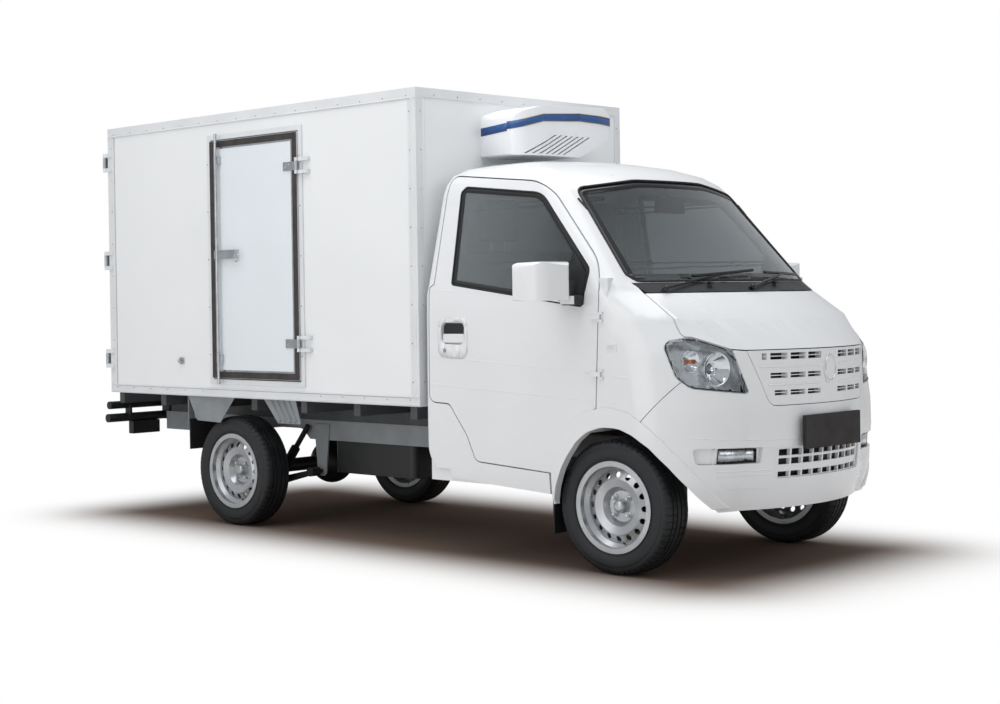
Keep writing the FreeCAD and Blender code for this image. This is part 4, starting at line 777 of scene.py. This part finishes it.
def makeDoorDetails(sideName, side):
    door = "cab_door_" + sideName
    outerSkin = faceTree(door)
    glass = faceTree("door_glass_" + sideName)
    window = [(-872, 1236, 18), (-877, 1690, 35), (-386, 1637, 136), (-76.5, 1290, 60), (-103, 1130, 25)]
    faceRing(glass, grownLoop(window, -2.5), grownLoop(window, -27), sideName, 1.2,
             "window_band_" + sideName, door, "sealRubber", 1.6)
    edge = densify(roundedLoop(grownLoop(window, -3), 5), 40)
    addTube([onFace(glass, edge, sideName, 2.0)], "window_rubber_" + sideName, door, "sealRubber", 4.2)
    # black sail panel behind the mirror
    sail = [(-215, 1133), (-112, 1133), (-96, 1276), (-178, 1372), (-196, 1300)]
    patchOf("door_glass_" + sideName, cutsOf(sail, sideName), Vector((0, side, 0)),
            "mirror_sail_" + sideName, "grainedPlastic", 1.6, 2.0)
    # belt shoulder and the two swages below it, half sunk in the skin
    lines = []
    for run in ([(-990, 1216), (-720, 1205), (-420, 1176), (-70, 1138)],
                [(-992, 914), (-500, 884), (-44, 852)], [(-992, 785), (-500, 761), (-48, 737)]):
        lines.append(onFace(outerSkin, densify(run, 60, False), sideName, -4.4))
    addTube(lines, "door_swages_" + sideName, door, "whiteEnamel", 5.5, False)
    # handle: a raised oval plate, the dark hollow, the paddle and the lock
    plate = [(-948, 908, 46), (-948, 1088, 46), (-766, 1096, 46), (-766, 900, 46)]
    hollow = [(-927, 971, 30), (-927, 1066, 30), (-785, 1074, 34), (-785, 965, 34)]
    faceRing(outerSkin, plate, hollow, sideName, 0.6, "handle_plate_" + sideName, door, "whiteEnamel", 2.4,
             4)
    face = onFace(outerSkin, [(-865, 1100)], sideName)[0].y * 1000
    deep = -side * 16.5
    makePad(at(-925, face + deep, 1006), at(-787, face + deep * 0.93, 1064), "handle_hollow_" + sideName,
            door,
            "grainedPlastic")
    makePad(at(-921, face + deep * 0.9, 974), at(-789, face + deep * 0.08, 1016),
            "handle_paddle_" + sideName,
            door, "whiteEnamel", 6.0, 4)
    shape = bmesh.new()
    lock = at(-906, face, 940)
    addBar(shape, lock - Vector((0, -side * 0.0005, 0)), lock + Vector((0, side * 0.004, 0)), 11.0, 28, 9.5)
    addBar(shape, lock + Vector((0, side * 0.003, 0)), lock + Vector((0, side * 0.0052, 0)), 6.0, 20)
    pieceFrom(shape, "door_lock_" + sideName, door, "polishedStainless")
    # mirror: black foot, silvered glass in the rear face
    makePad(at(-172, side * 758.5, 1140.5), at(-96, side * 822, 1184), "mirror_foot_" + sideName, door,
            "grainedPlastic", 7.0)
    pane = {"turn": 10.8, "centre": at(-281, side * 915, 1240)}
    shape = bmesh.new()
    addBlock(shape, at(-286, side * 845, 1184), at(-276, side * 980, 1300))
    bmesh.ops.rotate(shape, verts=shape.verts, cent=pane["centre"],
                     matrix=Matrix.Rotation(side * math.radians(pane["turn"]), 3, "Z"))
    soften(pieceFrom(shape, "mirror_glass_" + sideName, door, "brightChrome"), 4.0, 3)


def makeCabDetails():
    bodySkin = faceTree("cab_body", "fenders")
    screen = faceTree("fixed_glass")
    outline = [(-662, 1232, 40), (-583, 1653, 55), (-250, 1694, 500), (250, 1694, 500), (583, 1653, 55),
               (662, 1232, 40)]
    faceRing(screen, grownLoop(outline, -2.5), grownLoop(outline, -34), "front", 1.0, "screen_band",
             "chassis", "glossPlastic", 1.2)
    edge = densify(roundedLoop(grownLoop(outline, -3), 5), 40)
    addTube([onFace(screen, edge, "front", 2.5)], "screen_rubber", "chassis", "sealRubber", 5.0)
    rear = [(-520, 1300, 60), (-500, 1620, 60), (500, 1620, 60), (520, 1300, 60)]
    edge = densify(roundedLoop(grownLoop(rear, -3), 5), 60)
    addTube([onFace(screen, edge, "rear", 2.0)], "rear_screen_rubber", "chassis", "sealRubber", 5.0)
    for sideName, side in sides:
        strip = onFace(bodySkin, densify([(-244, 1603), (-151, 1506)], 20, False), sideName, 0.0)
        addTube([strip], "pillar_vent_" + sideName, "chassis", "grainedPlastic", 5.5, False)
        swage = [onFace(bodySkin, densify(run, 60, False), sideName, -4.4) for run in
                 ([(-28, 851), (120, 838), (300, 826)], [(-24, 736), (60, 730)],
                  [(-1020, 914), (-1007, 913)],
                  [(-1020, 786), (-1007, 785)])]
        addTube([run for run in swage if len(run) > 1], "side_swages_" + sideName, "chassis", "whiteEnamel",
                5.5, False)
        marker = onFace(bodySkin, [(47, 962)], sideName)[0]
        half = Vector((0.027, 0.002, 0.018))
        makePad(marker - half, marker + half, "marker_bezel_" + sideName, "chassis", "whiteEnamel", 1.6)
        low, high = Vector((-0.018, side * 0.0018, -0.010)), Vector((0.018, side * 0.0034, 0.010))
        makePad(marker + low, marker + high, "marker_lens_" + sideName, "chassis", "clearLens", 1.2)
        makeDoorDetails(sideName, side)
    # washer nozzles on the cowl and the inside mirror
    cowl = faceTree("cowl_panel")
    shape = bmesh.new()
    for y in (-341, 80):
        seat = cowl.ray_cast(Vector((1.9, y / 1000, 1.212)), Vector((-1, 0, 0)))[0]
        addBar(shape, seat, seat + Vector((0.004, 0, 0.012)), 8.0, 16, 6.0)
        addBlock(shape, seat + Vector((-0.006, -0.011, 0.008)), seat + Vector((0.012, 0.011, 0.019)))
    pieceFrom(shape, "washer_nozzles", "chassis", "glossPlastic", False)
    makePad(at(-182, -150, 1545), at(-160, 62, 1617), "inside_mirror", "chassis", "grainedPlastic", 9.0, 4)
    shape = bmesh.new()
    addBar(shape, at(-168, -44, 1600), at(-196, -44, 1664), 6.0)
    pieceFrom(shape, "inside_mirror_stem", "chassis", "grainedPlastic")


# ---- insulated box ----

def makeBox():
    box = {"front": -1068, "rear": -3500, "half": 765, "floor": 676, "top": 2160}
    cadCopy("box_rails", "box_rails_shell", "coatedExtrusion", 1.6)
    cadCopy("box_panels", "box_panels_shell", "boxGelcoat", 1.5)
    cadCopy("side_door", "side_door_shell", "doorGelcoat", 4.0)
    cadCopy("side_door_frame", "side_door_frame_shell", "coatedExtrusion", 1.2)
    for name in ("side_door_gear", "rear_door_gear_left", "rear_door_gear_right"):
        cadCopy(name, name + "_shell", "polishedStainless", 1.5)
    for sideName in ("left", "right"):
        cadCopy("rear_door_" + sideName, "rear_door_shell_" + sideName, "boxGelcoat", 4.0)
    # rivets along the edge profiles, none in the side door's sill
    rivet = {"foot": 4.4, "head": 3.0, "tall": 0.0022, "sunk": 0.0005}
    along = [box["front"] - 62 - k * 154 for k in range(16)]
    upright = [790 + k * 180 for k in range(8)]
    rows = []
    for side in (-1, 1):
        y = side * box["half"]
        sill = [x for x in along if side > 0 or not -2640 < x < -1820]
        rows += [((x, y, box["floor"] + 30), (0, side, 0)) for x in sill]
        rows += [((x, y, box["top"] - 36), (0, side, 0)) for x in along]
        rows += [((x, y, z), (0, side, 0)) for x in (box["front"] - 42, box["rear"] + 36) for z in upright]
        rows += [((box["front"], side * 735, z), (1, 0, 0)) for z in upright]
    rows += [((box["front"], -640 + k * 160, box["top"] - 30), (1, 0, 0)) for k in range(9)]
    rivets = bmesh.new()
    for place, way in rows:
        start = at(*place) - Vector(way) * rivet["sunk"]
        addBar(rivets, start, start + Vector(way) * rivet["tall"], rivet["foot"], 12, rivet["head"])
    pieceFrom(rivets, "rail_rivets", "chassis", "polishedStainless")
    # rounded corner posts at the front and lips along the bottom and top profiles
    posts = [[at(box["front"] - 26, side * (box["half"] - 17), z) for z in (718, 2112)] for side in (-1, 1)]
    addTube(posts, "corner_posts", "chassis", "coatedExtrusion", 22.0, False)
    lips = [[at(x, side * (box["half"] - 0.5), z) for x in (box["rear"] + 4, box["front"] - 4)]
            for side in (-1, 1) for z in (box["floor"] + 7, box["floor"] + 44, box["top"] - 48)]
    addTube(lips, "rail_lips", "chassis", "coatedExtrusion", 4.0, False)
    # side door: gasket round the edge, silver trim inside it, rivets, ring and holder
    door = {"rear": -2572, "front": -1886, "low": 778, "high": 2018, "face": -777}
    for partName, inset, width, proud, finishName, slot in (
            ("side_door_gasket", 1, 33, 2.2, "gasketRubber", "black_trim"),
            ("side_door_trim", 34.5, 9, 1.8, "polishedStainless", "rail_alloy")):
        shape = bmesh.new()
        x0, x1 = door["rear"] + inset, door["front"] - inset
        z0, z1 = door["low"] + inset, door["high"] - inset
        y0, y1 = door["face"] - proud, door["face"] + 1
        for a0, a1, b0, b1 in frameStrips(x0, x1, z0, z1, width):
            addBlock(shape, at(a0, y0, b0), at(a1, y1, b1))
        soften(pieceFrom(shape, partName, "box_side_door", finishName, True, 30, slot), 1.0)
    shape = bmesh.new()
    for z in (962, 1848):
        for dx in (-88, -62, -30):
            seat = at(-1878 + dx, -783, z + (8 if dx == -62 else -6))
            addBar(shape, seat, seat + Vector((0, -0.0028, 0)), 4.6, 12, 3.2)
    for k in range(5):
        for x in (-2600, -1872):
            seat = at(x, -770.2, 900 + k * 250)
            addBar(shape, seat, seat + Vector((0, -0.0022, 0)), 4.2, 12, 3.0)
    pieceFrom(shape, "side_door_rivets", "box_side_door", "polishedStainless")
    ring = [at(-2330 + 19 * math.cos(a), -805.5, 1404 + 21 * math.sin(a)) for a in turnsOf(28)]
    addTube([ring], "side_door_ring", "box_side_door", "polishedStainless", 3.2)
    shape = bmesh.new()
    addBlock(shape, at(-2868, -769.5, 846), at(-2834, -765.2, 880))
    addBar(shape, at(-2851, -769, 863), at(-2851, -785, 863), 7.0)
    addBall(shape, at(-2851, -786, 863), 8.5)
    pieceFrom(shape, "door_holder", "chassis", "polishedStainless")
    # rear doors: a gasket round each leaf
    x0 = box["rear"] - 13.4
    for sideName, side in sides:
        shape = bmesh.new()
        y0, y1 = sorted((side * 10, side * 706))
        for a0, a1, b0, b1 in frameStrips(y0, y1, 730, 2106, 12):
            addBlock(shape, at(x0, a0, b0), at(x0 + 3, a1, b1))
        gasket = pieceFrom(shape, "rear_door_gasket_" + sideName, "rear_door_" + sideName, "gasketRubber")
        soften(gasket, 0.8)


def makeUnit():
    # refrigeration unit over the cab: cover, blue band with gold edges, a dark sheet behind the louvres as
    # painted shade
    cadCopy("refrigeration_unit", "unit_cover", "unitAbs", 14.0, 40)
    tops = [(-320, 2010), (-168, 2047), (100, 2064), (410, 2058)]
    lows = [(-320, 1974), (-168, 2012), (100, 2026), (410, 2018)]
    ways = [Vector((1, -1, 0)).normalized(), Vector((1, 0, 0)), Vector((1, 0.3, 0)).normalized()]
    tree = faceTree("refrigeration_unit")
    for k, way in enumerate(ways):
        quad = [lows[k], lows[k + 1], tops[k + 1], tops[k]]
        cuts = cutsOf(quad, "front") + [(at(-900, 0, 0), Vector((-1, 0, 0)))]
        patchOf("refrigeration_unit", cuts, way, "unit_band_%d" % k, "stripeBlue")
    side = [(-1066, 1951), (-900, 1966), (-900, 2004), (-1066, 1990)]
    patchOf("refrigeration_unit", cutsOf(side, "right"), Vector((0, -1, 0)), "unit_band_side", "stripeBlue")
    edges = [onFace(tree, densify(line, 25, False), "front", 1.2) for line in (tops, lows)]
    addTube([e for e in edges if len(e) > 2], "unit_band_edges", "chassis", "stripeGold", 1.5, False)
    makePad(at(-834, -279, 1853), at(-829, 120, 1956), "louvre_shadow", "chassis", "grainedPlastic")


# ---- seats, cabin and chassis ----

def makeSeats():
    # cushions, backs and head rests over the CAD seats' form, padded cloth
    for sideName, side in (("left", 1), ("right", -1)):
        y = side * 370
        parts = (("cushion", (-928, y - 233, 702), (-432, y + 233, 818), 26),
                 ("back", (-966, y - 223, 800), (-842, y + 223, 1388), 26),
                 ("head_rest", (-958, y - 128, 1442), (-884, y + 128, 1638), 22))
        for partName, low, high, edge in parts:
            shape = bmesh.new()
            addBlock(shape, at(*low), at(*high))
            if partName == "back":
                for vert in shape.verts:
                    share = (vert.co.z - 0.80) / 0.588
                    vert.co.x -= 0.012 * share if vert.co.x < at(-900, 0, 0).x else 0.052 * share
            bmesh.ops.bevel(shape, geom=shape.edges[:], offset=edge / 1000, segments=4, profile=0.5,
                            affect="EDGES",
                            material=-1)
            bmesh.ops.subdivide_edges(shape, edges=[e for e in shape.edges if e.calc_length() > 0.09],
                                      cuts=5,
                                      use_grid_fill=True)
            piece = pieceFrom(shape, "seat_" + partName + "_" + sideName, "chassis", "seatCloth")
            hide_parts("seats")
        posts = bmesh.new()
        for o in (-50, 50):
            addBar(posts, at(-922, y + o, 1380), at(-922, y + o, 1450), 7.0)
        bars = pieceFrom(posts, "head_rest_posts_" + sideName, "chassis", "polishedStainless")
        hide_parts("seats")


def boxOf(node):
    corners = [Vector(vert.co) for vert in nodes[node].data.vertices]
    return [Vector(pick(c[i] for c in corners) for i in range(3)) for pick in (min, max)]


def makeChassis():
    for node, finishName in (("chassis_frame", "greyChassisPaint"), ("box_bearers", "shadedChassisPaint"),
                             ("body_brackets", "greyChassisPaint"), ("rear_axle", "blackChassisPaint"),
                             ("leaf_springs", "blackChassisPaint"), ("rear_underrun", "blackChassisPaint"),
                             # the fuel tank's black paint is its own colour and also stands in as painted
                             # shade for the dark space under the frame there
                             ("exhaust", "aluminisedSteel"), ("fuel_tank", "blackChassisPaint"),
                             ("mud_flaps", "sealRubber"), ("number_plates", "plateEnamel"),
                             ("arch_flares", "whiteEnamel"), ("mirror_left", "whiteEnamel"),
                             ("mirror_right", "whiteEnamel"), ("wipers", "glossPlastic")):
        edge = {"mirror_left": 9.0, "mirror_right": 9.0, "arch_flares": 3.0, "wipers": 0.6}.get(node, 1.5)
        cadCopy(node, node + "_finished", finishName, edge)
    # tail lamps: black housings, with amber, red and clear lenses looking to the rear
    cadCopy("tail_lamps", "tail_lamp_housings", "grainedPlastic", 3.0, slot="black_trim")
    face = boxOf("tail_lamps")
    for lensName, finishName, near, far in (("amber", "amberLens", 0.04, 0.33),
                                            ("red", "redLens", 0.36, 0.72),
                                            ("clear", "clearLens", 0.75, 0.96)):
        shape = bmesh.new()
        for side in (-1, 1):
            outer, inner = side * face[1].y, side * (face[1].y - 0.190)
            y0, y1 = outer + (inner - outer) * near, outer + (inner - outer) * far
            addBlock(shape, Vector((face[0].x - 0.004, min(y0, y1), face[0].z + 0.007)),
                     Vector((face[0].x + 0.002, max(y0, y1), face[1].z - 0.007)))
        soften(pieceFrom(shape, "tail_lens_" + lensName, "chassis", finishName), 1.8, 3)
    # spring clamps and their bolts
    shape = bmesh.new()
    for side in (-1, 1):
        for dx, dy in ((-38, -38), (-38, 38), (38, -38), (38, 38)):
            x, y = -2500 + dx, side * 485 + dy
            addBar(shape, at(x, y, 190), at(x, y, 268), 6.0, 10)
        addBlock(shape, at(-2560, side * 485 - 46, 188), at(-2440, side * 485 + 46, 196))
    pieceFrom(shape, "spring_clamps", "chassis", "blackChassisPaint", True, 40)
    # dampers beside the springs
    shape = bmesh.new()
    for side in (-1, 1):
        low, high = at(-2440, side * 430, 250), at(-2200, side * 445, 520)
        addBar(shape, low, low.lerp(high, 0.55), 25.0, 20)
        addBar(shape, low.lerp(high, 0.5), high, 14.0, 16)
    pieceFrom(shape, "rear_dampers", "chassis", "blackChassisPaint", True, 40)


bpy.context.scene.view_settings.view_transform = "Standard"
makeCamera()
makeStage()
makeLight()
finish = {name: makeMaterial(name, *row) for name, row in finishRows.items()}
finish.update({name: makeGlass(name, *row) for name, row in glassRows.items()})
print("camera, stage, light and finishes are ready")

bodyOf = {}
for bodyName, members in frame["record"]["behaviour"]["bodies"].items():
    for member in members:
        bodyOf[member] = bodyName

plain = {
    "boxGelcoat": ("evaporator",),
    "blackChassisPaint": ("front_suspension", "knuckle_left", "knuckle_right"),
    "castIron": ("engine_block",),
    "grainedPlastic": ("cowl_panel", "dashboard", "steering_wheel", "front_panel"),
    "privacyGlass": ("door_glass_left", "door_glass_right"),
    "tintedGlass": ("fixed_glass",),
}
for finishName, members in plain.items():
    for member in members:
        mesh = nodes[member].data
        mesh.materials.clear()
        mesh.materials.append(finish[finishName])
for member in ("cab_body", "bonnet", "cab_door_left", "cab_door_right", "fenders", "front_bumper"):
    cadCopy(member, member + "_shell", "whiteEnamel", 1.2)
print("cab panels are painted")
makeWheels()
print("wheels are made")
makeNose()
print("nose is made")
makeCabDetails()
print("cab details are made")
makeBox()
makeUnit()
print("box and unit are made")
makeSeats()
makeChassis()
print("seats and chassis are made")
